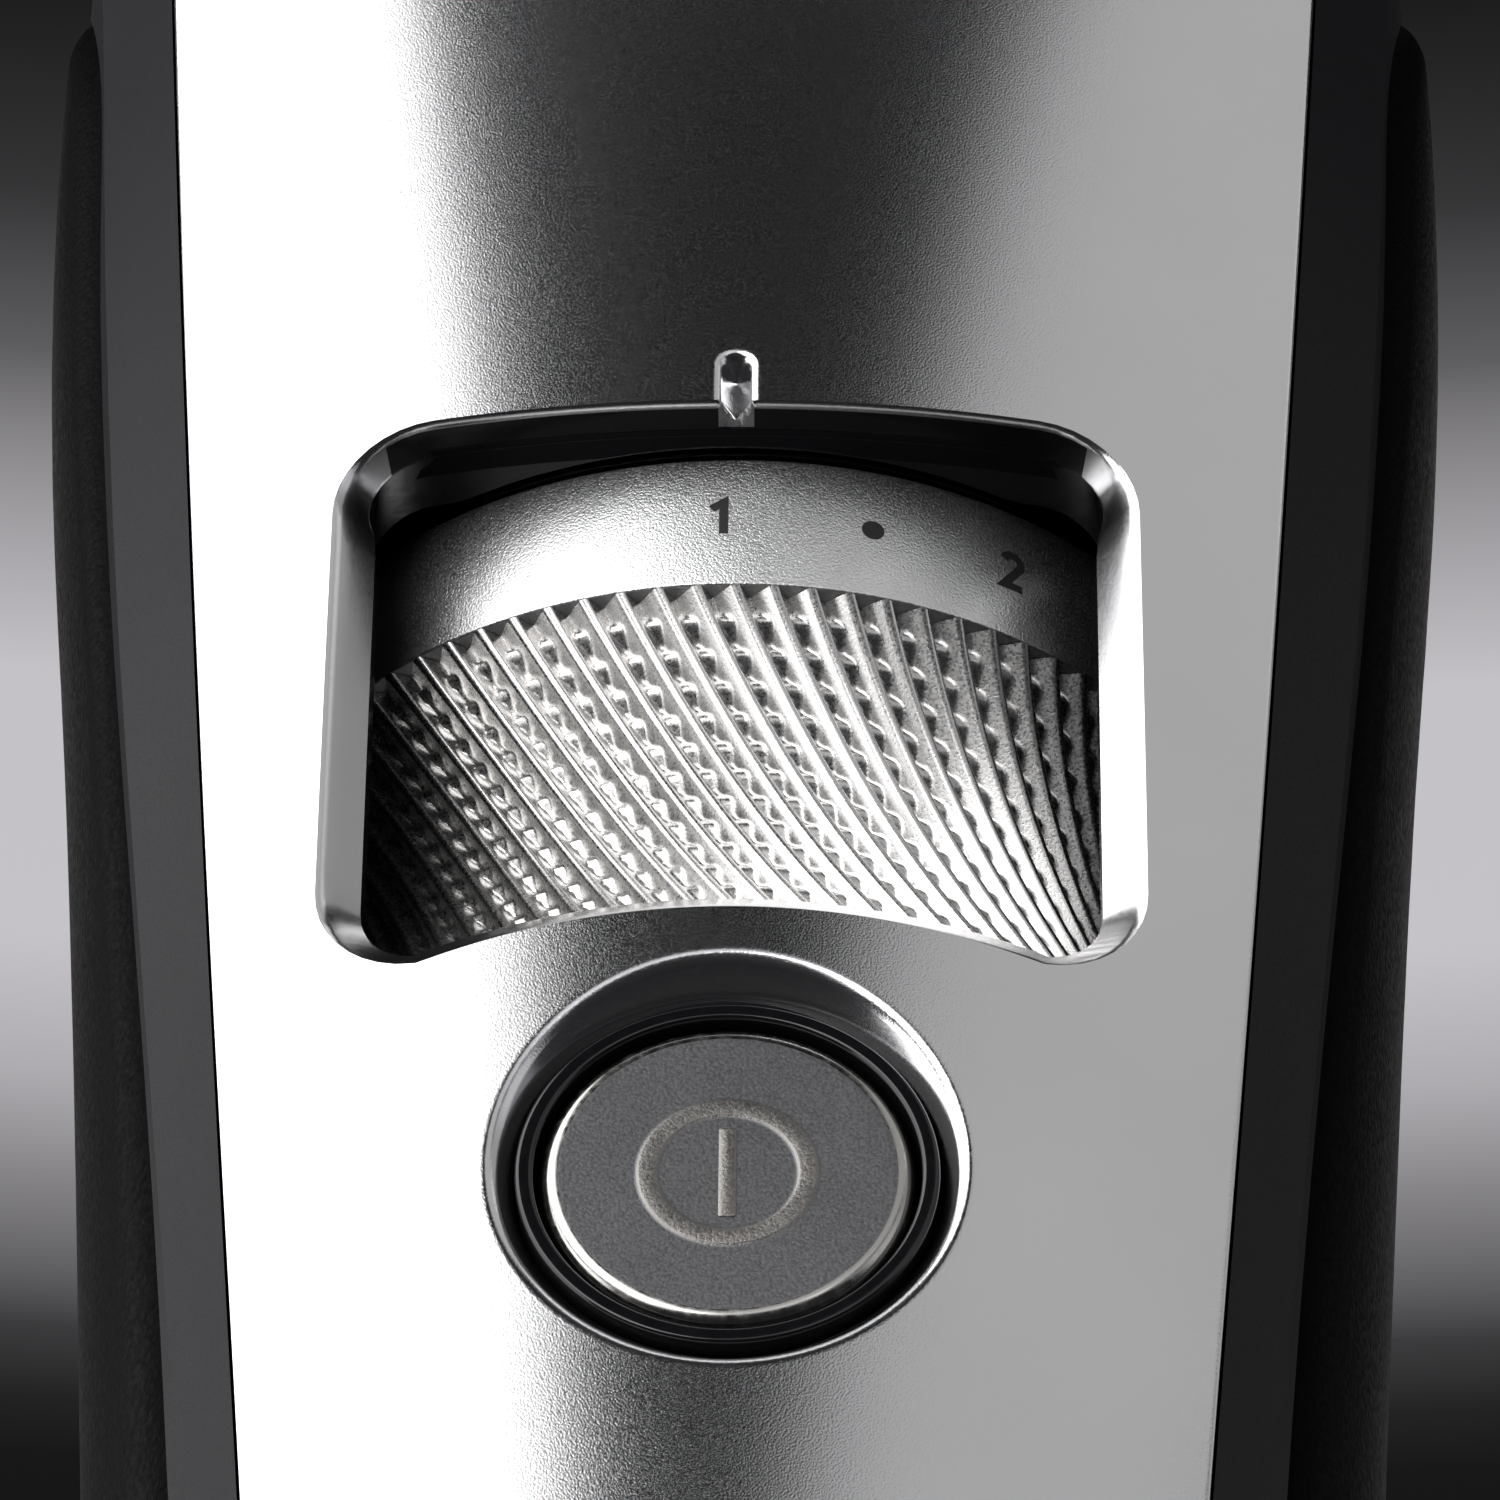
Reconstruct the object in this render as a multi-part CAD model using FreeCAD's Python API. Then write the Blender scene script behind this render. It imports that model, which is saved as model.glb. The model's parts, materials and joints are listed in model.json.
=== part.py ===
"""Beard trimmer with a thumb dial that raises its comb, as an assembly of separate pieces.

Millimetres. +Z runs up the body from the flat base face, the dial side faces -Y, and the
origin is on the base face under the dial's axis.
"""
import FreeCAD, Part
import math
import os

V = FreeCAD.Vector

# ---------------------------------------------------------------- driving dimensions
BODY_TOP = 146.0            # top of the handle, where the cutting head's neck begins
BASE_CAP_TOP = 9.0          # seam between the base cap and the two housings
SPLIT_Y = 2.0               # plane between the front and rear housings
WALL = 2.5                  # housing wall
PANEL_ARC_RADIUS = 57.0     # crosswise curve of the front panel
PANEL_THICK = 1.2
PANEL_BOTTOM, PANEL_TOP = 9.2, 143.5
BAND_DEPTH = 4.6            # how far back the dark flank beside the panel reaches
GRIP_INLAY = 1.0            # depth that the rubber grips sit into the housing

# by height: half-widths of the panel, of the bare housing and over the grips, and the width
# of the dark band between panel and grip
PANEL_HALF_WIDTH = [(0, 11.0), (30, 13.2), (62, 15.9), (86, 18.0), (106, 19.6), (132, 21.5),
                    (146, 22.4)]
BAND_WIDTH = [(0, 2.6), (30, 2.1), (65, 2.1), (90, 2.6), (110, 3.0), (133, 2.95), (146, 2.9)]
HOUSING_HALF_WIDTH = [(0, 17.4), (12, 18.2), (35, 19.4), (60, 20.9), (85, 22.6), (108, 24.2),
                      (124, 25.3), (136, 25.6), (146, 25.3)]
GRIP_HALF_WIDTH = [(0, 17.6), (12, 18.8), (35, 20.3), (55, 21.6), (71, 22.65), (93, 24.1),
                   (105, 25.0), (117, 26.05), (125, 26.5), (131, 26.75), (138, 26.6), (146, 25.8)]
# how far the outside draws in at the rounded base and at the top shoulder
EDGE_INSET = [(0, 2.4), (0.4, 1.7), (1.2, 1.0), (2.2, 0.55), (3.5, 0.25), (9, 0.0), (141, 0.0),
              (144.5, 0.6), (146, 1.3)]

WINDOW_HALF_WIDTH, WINDOW_BOTTOM, WINDOW_TOP = 14.0, 84.0, 106.6
WINDOW_CORNER, WINDOW_DIP, WINDOW_DRAFT = 3.2, 1.1, 1.65

BUTTON_Z = 73.6
BUTTON_R, BUTTON_SINK, BUTTON_RECESS_R = 6.3, 0.84, 8.3
LAMP_Z = 50.0

DIAL_BOTTOM, DIAL_SPLIT, DIAL_TOP = 85.6, 100.8, 106.8
DIAL_R, DIAL_TOP_R, DIAL_WAIST_R, DIAL_BOTTOM_R = 18.35, 17.9, 16.4, 18.3
DIAL_BORE_R = 15.0
DIAL_ROOM_R = 18.9          # room for the dial inside the housing

CAM_PITCH = 10.5            # comb lift per turn of the dial
CAM_INNER_R, CAM_OUTER_R = 12.95, 14.9
PEG_Z = 88.5                # lift peg at the stored setting, one step above the lowest
PEG_R, GROOVE_DEPTH = 1.0, 0.9
DIAL_STEP_DEG = 360.0 / 21.0
DIAL_STEPS_DOWN, DIAL_STEPS_UP = 1, 18

LIFTER_INNER_R, LIFTER_OUTER_R = 11.45, 12.65
ARM_IN, ARM_OUT, ARM_HALF_DEPTH = 19.5, 20.9, 4.0

MOTOR_R, MOTOR_BOTTOM, MOTOR_TOP = 9.9, 82.5, 110.0
SHAFT_R = 1.0
CAM_R, CAM_Z0, CAM_Z1 = 2.2, 113.2, 117.2
LEVER_PIVOT_Z, LEVER_PIN_Z = BODY_TOP - 2.0, BODY_TOP + 13.5

NECK_TOP, NECK_HALF_WIDTH = BODY_TOP + 12.0, 18.4
BLADE_TIP_Y, BLADE_TIP_Z = -9.0, BODY_TOP + 32.0
BLADE_TILT_DEG = 28.0       # lean of the blades towards the dial side
BLADE_HALF_WIDTH, TOOTH_PITCH, TOOTH_DEPTH = 19.0, 1.4, 5.0
BLADE_SCREW_X = 14.5
STROKE = 1.0                # cutter travel each way
CAM_THROW = STROKE * (LEVER_PIVOT_Z - (CAM_Z0 + CAM_Z1) / 2) / (LEVER_PIN_Z - LEVER_PIVOT_Z)

BATTERY_R, BATTERY_LENGTH, BATTERY_Y = 7.25, 50.0, 4.0
SOCKET_HALF_X, SOCKET_Y0, SOCKET_Y1, SOCKET_DEPTH = 5.5, 2.5, 9.5, 10.0

COMB_BOTTOM, COMB_RIM, COMB_WALL = BODY_TOP + 1.0, BODY_TOP + 14.0, 1.5
COMB_INNER_X, COMB_Y0, COMB_Y1 = 21.2, -17.3, 15.3
TINE_PITCH, TINE_THICK = 3.0, 1.0

os.makedirs("parts", exist_ok=True)


# ---------------------------------------------------------------- shape helpers
def smooth(table, z):
    """Value at z of a smooth curve through (z, value) pairs."""
    if z <= table[0][0]:
        return table[0][1]
    if z >= table[-1][0]:
        return table[-1][1]

    def slope(i):
        lo, hi = max(i - 1, 0), min(i + 1, len(table) - 1)
        return (table[hi][1] - table[lo][1]) / (table[hi][0] - table[lo][0])

    for i in range(len(table) - 1):
        (z0, v0), (z1, v1) = table[i], table[i + 1]
        if z <= z1:
            h = z1 - z0
            t = (z - z0) / h
            return (v0 * (1 + 2 * t) * (1 - t) ** 2 + slope(i) * h * t * (1 - t) ** 2
                    + v1 * t * t * (3 - 2 * t) - slope(i + 1) * h * t * t * (1 - t))


def linear(table, z):
    """Value at z of straight runs through (z, value) pairs."""
    for (z0, v0), (z1, v1) in zip(table, table[1:]):
        if z <= z1:
            return v0 + (v1 - v0) * max(0.0, z - z0) / (z1 - z0)
    return table[-1][1]


def panel_half_width(z):
    return smooth(PANEL_HALF_WIDTH, z)


def front_y(z):
    bow = 5.4 if z < 104 else 15.0
    return -21.0 + bow * ((z - 104.0) / 104.0) ** 2


def rear_y(z):
    bow = 6.7 if z < 96 else 16.0
    return 21.2 - bow * ((z - 96.0) / 96.0) ** 2


def arc_sag(x):
    return PANEL_ARC_RADIUS - math.sqrt(PANEL_ARC_RADIUS ** 2 - x * x)


def spline(points):
    curve = Part.BSplineCurve()
    curve.interpolate([V(*p) for p in points])
    return curve.toShape()


def body_section(z, inset, grip=False):
    """Cross-section of the handle at height z, drawn in by inset."""
    half = panel_half_width(z)
    y0 = front_y(z) + inset
    y_panel = y0 + arc_sag(half)
    band_x = half + smooth(BAND_WIDTH, z) - inset
    band_y = y_panel + BAND_DEPTH
    wide = smooth(GRIP_HALF_WIDTH if grip else HOUSING_HALF_WIDTH, z) - inset
    back = smooth(HOUSING_HALF_WIDTH, z) - inset
    y1 = rear_y(z) - inset
    proud = 0.5 if grip else 0.0
    half -= inset * 0.6
    corner = V(half, y0 + arc_sag(half), z)
    mirror = V(-half, y0 + arc_sag(half), z)
    flank = (band_x + proud * 0.6, band_y, z)
    far_flank = (-band_x - proud * 0.6, band_y, z)
    edges = [
        Part.Arc(mirror, V(0, y0, z), corner).toShape(),
        Part.LineSegment(corner, V(*flank)).toShape(),
        spline([flank, (wide, 0, z), (0.80 * back + proud, y1 - 5.2, z), (0, y1 + proud, z),
                (-0.80 * back - proud, y1 - 5.2, z), (-wide, 0, z), far_flank]),
        Part.LineSegment(V(*far_flank), mirror).toShape(),
    ]
    return Part.Wire(edges)


def body_loft(heights, inset, rounded, grip=False, straight=False):
    """Solid of the handle's sections; rounded follows the base and shoulder insets."""
    wires = []
    for z in heights:
        extra = linear(EDGE_INSET, z) if rounded else 0.0
        wires.append(body_section(z, inset + extra, grip))
    return Part.makeLoft(wires, True, straight)


def panel_slab(z0, z1, side, outer, inner, steps=9):
    """Curved plate that follows the panel's surface, from depth outer to depth inner."""
    wires = []
    for i in range(steps):
        z = z0 + (z1 - z0) * i / (steps - 1.0)
        half = panel_half_width(z) + side
        y0 = front_y(z)
        sag = arc_sag(half)
        a, b = V(-half, y0 + outer + sag, z), V(half, y0 + outer + sag, z)
        c, d = V(half, y0 + inner + sag, z), V(-half, y0 + inner + sag, z)
        wires.append(Part.Wire([
            Part.Arc(a, V(0, y0 + outer, z), b).toShape(),
            Part.LineSegment(b, c).toShape(),
            Part.Arc(c, V(0, y0 + inner, z), d).toShape(),
            Part.LineSegment(d, a).toShape(),
        ]))
    return Part.makeLoft(wires, True, False)


def box(x0, x1, y0, y1, z0, z1):
    return Part.makeBox(x1 - x0, y1 - y0, z1 - z0, V(x0, y0, z0))


def rod(radius, start, end):
    a, b = V(*start), V(*end)
    return Part.makeCylinder(radius, (b - a).Length, a, b - a)


def ring(r_in, r_out, z0, z1):
    return rod(r_out, (0, 0, z0), (0, 0, z1)).cut(rod(r_in, (0, 0, z0), (0, 0, z1)))


def slab_yz(points, x0, x1):
    """Plate with a (y, z) outline, from x0 to x1."""
    wire = Part.makePolygon([V(x0, y, z) for y, z in points + points[:1]])
    return Part.Face(wire).extrude(V(x1 - x0, 0, 0))


def slab_xy(points, z0, z1):
    wire = Part.makePolygon([V(x, y, z0) for x, y in points + points[:1]])
    return Part.Face(wire).extrude(V(0, 0, z1 - z0))


def fused(shapes):
    whole = shapes[0].fuse(shapes[1:])
    return whole.removeSplitter()


def write(name, shape):
    shape.exportStep("parts/%s.step" % name)


# ---------------------------------------------------------------- window and button openings
def window_wire(y, inset):
    """Rounded window outline at depth y; its lower edge is arched."""
    half = WINDOW_HALF_WIDTH - inset
    top, sill = WINDOW_TOP - 0.4 * inset, WINDOW_BOTTOM + 0.3 * inset
    low = sill - WINDOW_DIP
    r = WINDOW_CORNER - 0.5 * inset
    k = r * (1 - math.sqrt(0.5))

    def at(x, z):
        return V(x, y, z)

    return Part.Wire([
        Part.LineSegment(at(-half + r, top), at(half - r, top)).toShape(),
        Part.Arc(at(half - r, top), at(half - k, top - k), at(half, top - r)).toShape(),
        Part.LineSegment(at(half, top - r), at(half, low + r)).toShape(),
        Part.Arc(at(half, low + r), at(half - k, low + k), at(half - r, low)).toShape(),
        Part.Arc(at(half - r, low), at(0, sill), at(-half + r, low)).toShape(),
        Part.Arc(at(-half + r, low), at(-half + k, low + k), at(-half, low + r)).toShape(),
        Part.LineSegment(at(-half, low + r), at(-half, top - r)).toShape(),
        Part.Arc(at(-half, top - r), at(-half + k, top - k), at(-half + r, top)).toShape(),
    ])


def window_funnel(grow):
    """Tapered plug of the window, widened by grow."""
    outer = window_wire(-24.0, -0.9 - grow)
    inner = window_wire(-13.0, WINDOW_DRAFT - grow)
    return Part.makeLoft([outer, inner], True, True)


def dial_room():
    return rod(DIAL_ROOM_R, (0, 0, 84.3), (0, 0, 108.3))


BUTTON_Y = front_y(BUTTON_Z)


def button_hole(radius):
    return rod(radius, (0, BUTTON_Y - 3, BUTTON_Z), (0, BUTTON_Y + 4, BUTTON_Z))


def button_flange_seat():
    """Room behind the housing wall for the bezel's flange and the seal."""
    return rod(8.5, (0, BUTTON_Y + 2.5, BUTTON_Z), (0, BUTTON_Y + 6, BUTTON_Z))


def button_recess():
    """Sloped mouth of the button hole in the panel, and the straight hole below it."""
    depth = 1.5
    cone = Part.makeCone(BUTTON_RECESS_R + 0.35, 7.2, depth + 0.5,
                         V(0, BUTTON_Y - 0.5, BUTTON_Z), V(0, 1, 0))
    return cone.fuse(button_hole(7.2).common(box(-9, 9, BUTTON_Y + depth, BUTTON_Y + 4, 50, 100)))


# ---------------------------------------------------------------- casing
CAP_HEIGHTS = [0, 0.4, 1.2, 2.2, 3.5, BASE_CAP_TOP]
HOUSING_HEIGHTS = [BASE_CAP_TOP, 22, 36, 50, 64, 78, 92, 104, 116, 128, 137, 141, 142.8, 144.5,
                   BODY_TOP]
CAVITY_HEIGHTS = [BASE_CAP_TOP - 2, 22, 36, 50, 64, 78, 92, 104, 116, 128, 137, BODY_TOP + 1]


def grip_outline_solid(shrink):
    """Leaf outline of a grip in side view, as a bar right through the handle."""
    front = [(front_y(z) + arc_sag(panel_half_width(z)) + BAND_DEPTH + 0.6 + shrink, z)
             for z in (24, 48, 72, 96, 124)]
    back = [(5.0 - shrink, 139.5), (10.2 - shrink, 128), (11.6 - shrink, 104), (11.0 - shrink, 72),
            (9.6 - shrink, 44), (7.6 - shrink, 24)]
    points = [(0, 15 + shrink)] + front + [(-9.0 + shrink, 137.0), (-2.5, 142.6 - shrink)] + back
    curve = Part.BSplineCurve()
    curve.interpolate([V(-35, y, z) for y, z in points], PeriodicFlag=True)
    return Part.Face(Part.Wire([curve.toShape()])).extrude(V(70, 0, 0))


def make_casing():
    outside = body_loft(HOUSING_HEIGHTS, 0.0, True)
    cavity = body_loft(CAVITY_HEIGHTS, WALL, False)
    inlay_core = body_loft(CAVITY_HEIGHTS, GRIP_INLAY, False)
    shell = outside.cut(cavity)
    shell = shell.cut(grip_outline_solid(0.0).cut(inlay_core))
    shell = shell.cut(dial_room())

    front = shell.common(box(-40, 40, -40, SPLIT_Y, 0, 170))
    front = front.cut(panel_slab(PANEL_BOTTOM - 0.1, PANEL_TOP + 0.1, 0.1, -1.0,
                                 PANEL_THICK + 0.1))
    front = front.cut(window_funnel(0.95))
    front = front.cut(button_hole(7.2)).cut(button_flange_seat()).cut(lamp_hole(1.3))
    bosses = []
    for side in (-1, 1):
        post = rod(2.2, (side * 10.8, 0, BASE_CAP_TOP + 0.8), (side * 10.8, 0, 22))
        x0, x1 = sorted((side * 10.8, side * 16.4))
        rib = box(x0, x1, -0.8, 0.8, BASE_CAP_TOP + 0.8, 22)
        bosses.append(post.fuse(rib).cut(rod(1.0, (side * 10.8, 0, 0), (side * 10.8, 0, 17))))
    front = fused([front] + bosses)
    write("front_housing", front)
    write("rear_housing", shell.common(box(-40, 40, SPLIT_Y + 0.05, 40, 0, 170)))

    panel = panel_slab(PANEL_BOTTOM, PANEL_TOP, 0.0, 0.0, PANEL_THICK)
    skirt = window_funnel(0.85).common(panel_slab(78, 112, -2.0, 0.6, 4.2))
    panel = panel.fuse(skirt).cut(window_funnel(0.0))
    panel = panel.cut(rod(DIAL_R + 0.35, (0, 0, 70), (0, 0, 120)))
    panel = panel.cut(button_recess()).cut(lamp_hole(1.3)).cut(pointer_groove())
    write("front_panel", panel.removeSplitter())

    master = body_loft(CAVITY_HEIGHTS, 0.0, False, grip=True)
    sheath = master.cut(body_loft(CAVITY_HEIGHTS, GRIP_INLAY - 0.05, False))
    grips = sheath.common(grip_outline_solid(0.06))
    write("left_grip", grips.common(box(-40, 0, -40, 40, 0, 170)))
    write("right_grip", grips.common(box(0, 40, -40, 40, 0, 170)))


def lamp_hole(radius):
    y = front_y(LAMP_Z)
    return rod(radius, (0, y - 2, LAMP_Z), (0, y + 4, LAMP_Z))


def pointer_groove():
    """Pointer notch above the window, running out over the window's upper edge."""
    z_top = WINDOW_TOP + 2.9
    y = front_y(WINDOW_TOP) + 0.7
    long_part = box(-0.55, 0.55, y - 2, y, WINDOW_TOP - 1.5, z_top - 0.55)
    return long_part.fuse(rod(0.55, (0, y - 2, z_top - 0.55), (0, y, z_top - 0.55)))


def make_base():
    outside = body_loft(CAP_HEIGHTS, 0.0, True, straight=True)
    room = body_loft([2.2, BASE_CAP_TOP + 1], WALL, False, straight=True)
    cap = outside.cut(room).cut(socket_block(0.1))
    for side in (-1, 1):
        boss = rod(2.6, (side * 10.8, 0, 1.0), (side * 10.8, 0, BASE_CAP_TOP))
        cap = cap.fuse(boss)
    for side in (-1, 1):
        cap = cap.cut(rod(1.0, (side * 10.8, 0, 0), (side * 10.8, 0, 10)))
        cap = cap.cut(rod(2.0, (side * 10.8, 0, 0), (side * 10.8, 0, 2.6)))
    write("base_cap", cap.removeSplitter())

    seal_heights = [BASE_CAP_TOP - 0.8, BASE_CAP_TOP + 0.7]
    outer = body_loft(seal_heights, WALL + 0.1, False, straight=True)
    inner = body_loft(seal_heights, WALL + 0.8, False, straight=True)
    write("base_seal", outer.cut(inner))

    well = box(-SOCKET_HALF_X, SOCKET_HALF_X, SOCKET_Y0, SOCKET_Y1, -1, SOCKET_DEPTH)
    write("charge_socket", socket_block(0.0).cut(well).cut(socket_pin(-3.2)).cut(socket_pin(3.2)))
    write("socket_pins", Part.Compound([socket_pin(-3.2), socket_pin(3.2)]))

    screws = []
    for side in (-1, 1):
        head = rod(1.9, (side * 10.8, 0, 1.0), (side * 10.8, 0, 2.6))
        shank = rod(0.98, (side * 10.8, 0, 2.6), (side * 10.8, 0, 16.5))
        cross = box(side * 10.8 - 1.2, side * 10.8 + 1.2, -0.25, 0.25, 0.9, 1.7)
        screws.append(head.fuse(shank).cut(cross))
    write("case_screws", Part.Compound(screws))


def socket_block(grow):
    return box(-SOCKET_HALF_X - 1.2 - grow, SOCKET_HALF_X + 1.2 + grow, SOCKET_Y0 - 1.2 - grow,
               SOCKET_Y1 + 1.2 + grow, 0.4 - grow * 20, SOCKET_DEPTH + 1.6 + grow)


def socket_pin(x):
    y = (SOCKET_Y0 + SOCKET_Y1) / 2
    return rod(0.7, (x, y, 2.5), (x, y, SOCKET_DEPTH + 1.6))


# ---------------------------------------------------------------- button, lamp and electronics
BOARD_Y0, BOARD_Y1 = -11.6, -10.4


def make_electronics():
    z, y = BUTTON_Z, BUTTON_Y

    def disc(radius, a, b):
        return rod(radius, (0, y + a, z), (0, y + b, z))

    bezel = disc(7.12, 0.75, 2.55).fuse(disc(8.4, 2.55, 2.95)).cut(disc(BUTTON_R + 0.2, 0, 4))
    write("button_bezel", bezel.removeSplitter())
    write("button_seal", disc(8.4, 2.97, 3.35).cut(disc(1.75, 2, 4)))

    cap = disc(BUTTON_R, BUTTON_SINK, 2.3)
    rim = [e for e in cap.Edges if abs(e.BoundBox.YMin - y - BUTTON_SINK) < 0.01
           and e.BoundBox.YLength < 0.01]
    write("button_cap", cap.makeFillet(0.45, rim))
    write("button_stem", rod(1.55, (0, y + 2.32, z), (0, -15.6, z)))

    switch = box(-3, 3, -14.6, BOARD_Y0 - 0.02, z - 3, z + 3)
    write("tact_switch", switch.cut(rod(1.65, (0, -15, z), (0, -13.3, z))))
    write("switch_actuator", rod(1.5, (0, -15.5, z), (0, -14.0, z)))

    board = box(-8, 8, BOARD_Y0, BOARD_Y1, 46, 80.5)
    for hx, hz in ((-6.5, 78), (6.5, 78), (-6.5, 48.5), (6.5, 48.5)):
        board = board.cut(rod(1.0, (hx, -13, hz), (hx, -9, hz)))
    write("circuit_board", board)

    y_lamp = front_y(LAMP_Z)
    lens = rod(1.25, (0, y_lamp + 0.05, LAMP_Z), (0, y_lamp + 3.0, LAMP_Z))
    write("charge_lamp", lens)
    write("lamp_diode", box(-0.8, 0.8, BOARD_Y0 - 1.0, BOARD_Y0 - 0.02, LAMP_Z - 0.8, LAMP_Z + 0.8))

    low = SOCKET_DEPTH + 3.0
    high = low + BATTERY_LENGTH
    cell = rod(BATTERY_R, (0, BATTERY_Y, low), (0, BATTERY_Y, high - 1.2))
    cell = cell.fuse(rod(2.75, (0, BATTERY_Y, high - 1.2), (0, BATTERY_Y, high)))
    write("battery_cell", cell.removeSplitter())
    tabs = []
    for z0, z1 in ((low - 0.35, low - 0.05), (high + 0.05, high + 0.35)):
        tabs.append(box(-2.5, 2.5, -9.0, BATTERY_Y + 2.5, z0, z1))
    write("battery_tabs", Part.Compound(tabs))


# ---------------------------------------------------------------- dial and lift
def dial_crest(t):
    """Outer radius of the grip ring, t from 0 at its top to 1 at its bottom."""
    ends = DIAL_R + (DIAL_BOTTOM_R - DIAL_R) * t
    return ends - (ends - DIAL_WAIST_R) * 4 * t * (1 - t)


def cam_groove():
    """Helical groove on the inside of the dial's sleeve, for the lift peg."""
    spare = 9.0
    start = 90.0 - DIAL_STEPS_DOWN * DIAL_STEP_DEG - spare
    turn = (DIAL_STEPS_UP + DIAL_STEPS_DOWN) * DIAL_STEP_DEG + 2 * spare
    z_start = PEG_Z - CAM_PITCH * (DIAL_STEPS_DOWN * DIAL_STEP_DEG + spare) / 360.0
    helix = Part.makeHelix(CAM_PITCH, CAM_PITCH * turn / 360.0, CAM_INNER_R)
    half = PEG_R + 0.2
    r0, r1 = CAM_INNER_R - 0.6, CAM_INNER_R + GROOVE_DEPTH + 0.15
    corners = [(r0, -half), (r1, -half), (r1, half), (r0, half), (r0, -half)]
    profile = Part.makePolygon([V(r, 0, z) for r, z in corners])
    groove = Part.Wire(helix).makePipeShell([Part.Wire(profile)], True, True)
    groove.rotate(V(0, 0, 0), V(0, 0, 1), start)
    groove.translate(V(0, 0, z_start))
    return groove


def make_dial():
    steps = 12
    profile = []
    for i in range(steps + 1):
        t = i / float(steps)
        profile.append((dial_crest(t), 0, DIAL_SPLIT - 0.02 + (DIAL_BOTTOM - DIAL_SPLIT) * t))
    outer = spline(profile)
    top, bottom = profile[0], profile[-1]
    wire = Part.Wire([
        outer,
        Part.LineSegment(V(*bottom), V(DIAL_BORE_R, 0, bottom[2])).toShape(),
        Part.LineSegment(V(DIAL_BORE_R, 0, bottom[2]), V(DIAL_BORE_R, 0, top[2])).toShape(),
        Part.LineSegment(V(DIAL_BORE_R, 0, top[2]), V(*top)).toShape(),
    ])
    write("dial_grip_ring", Part.Face(wire).revolve(V(0, 0, 0), V(0, 0, 1), 360))

    scale = Part.makeCone(DIAL_R, DIAL_TOP_R, DIAL_TOP - DIAL_SPLIT, V(0, 0, DIAL_SPLIT))
    bore = rod(DIAL_BORE_R, (0, 0, DIAL_SPLIT - 1), (0, 0, DIAL_TOP + 1))
    write("dial_scale_ring", scale.cut(bore))

    sleeve = ring(CAM_INNER_R, CAM_OUTER_R, 84.7, DIAL_TOP)
    write("dial_cam_sleeve", sleeve.cut(cam_groove()))

    write("dial_seal", ring(14.2, DIAL_ROOM_R - 0.05, 107.15, 108.15))

    leaf = ring(15.7, 17.8, 84.32, 84.8).common(box(-10, 10, 10, 20, 84, 86))
    bump = rod(0.9, (0, 16.0, 84.4), (0, 17.6, 84.4)).common(box(-2, 2, 15, 18, 84.5, 86))
    write("detent_spring", leaf.fuse(bump).removeSplitter())


def make_lifter():
    sleeve = ring(LIFTER_INNER_R, LIFTER_OUTER_R, PEG_Z - 1.8, 111.4)
    peg = rod(PEG_R, (0, LIFTER_OUTER_R - 0.6, PEG_Z), (0, CAM_INNER_R + GROOVE_DEPTH - 0.1, PEG_Z))
    pieces = [sleeve, peg]
    for side in (-1, 1):
        x0, x1 = sorted((side * 12.0, side * ARM_OUT))
        spoke = box(x0, x1, -ARM_HALF_DEPTH, ARM_HALF_DEPTH, 108.9, 111.4)
        pieces.append(spoke.cut(rod(LIFTER_INNER_R, (0, 0, 100), (0, 0, 120))))
        x0, x1 = sorted((side * ARM_IN, side * ARM_OUT))
        pieces.append(box(x0, x1, -ARM_HALF_DEPTH, ARM_HALF_DEPTH, 108.9, BODY_TOP + 15.0))
    write("comb_lifter", fused(pieces))


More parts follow.
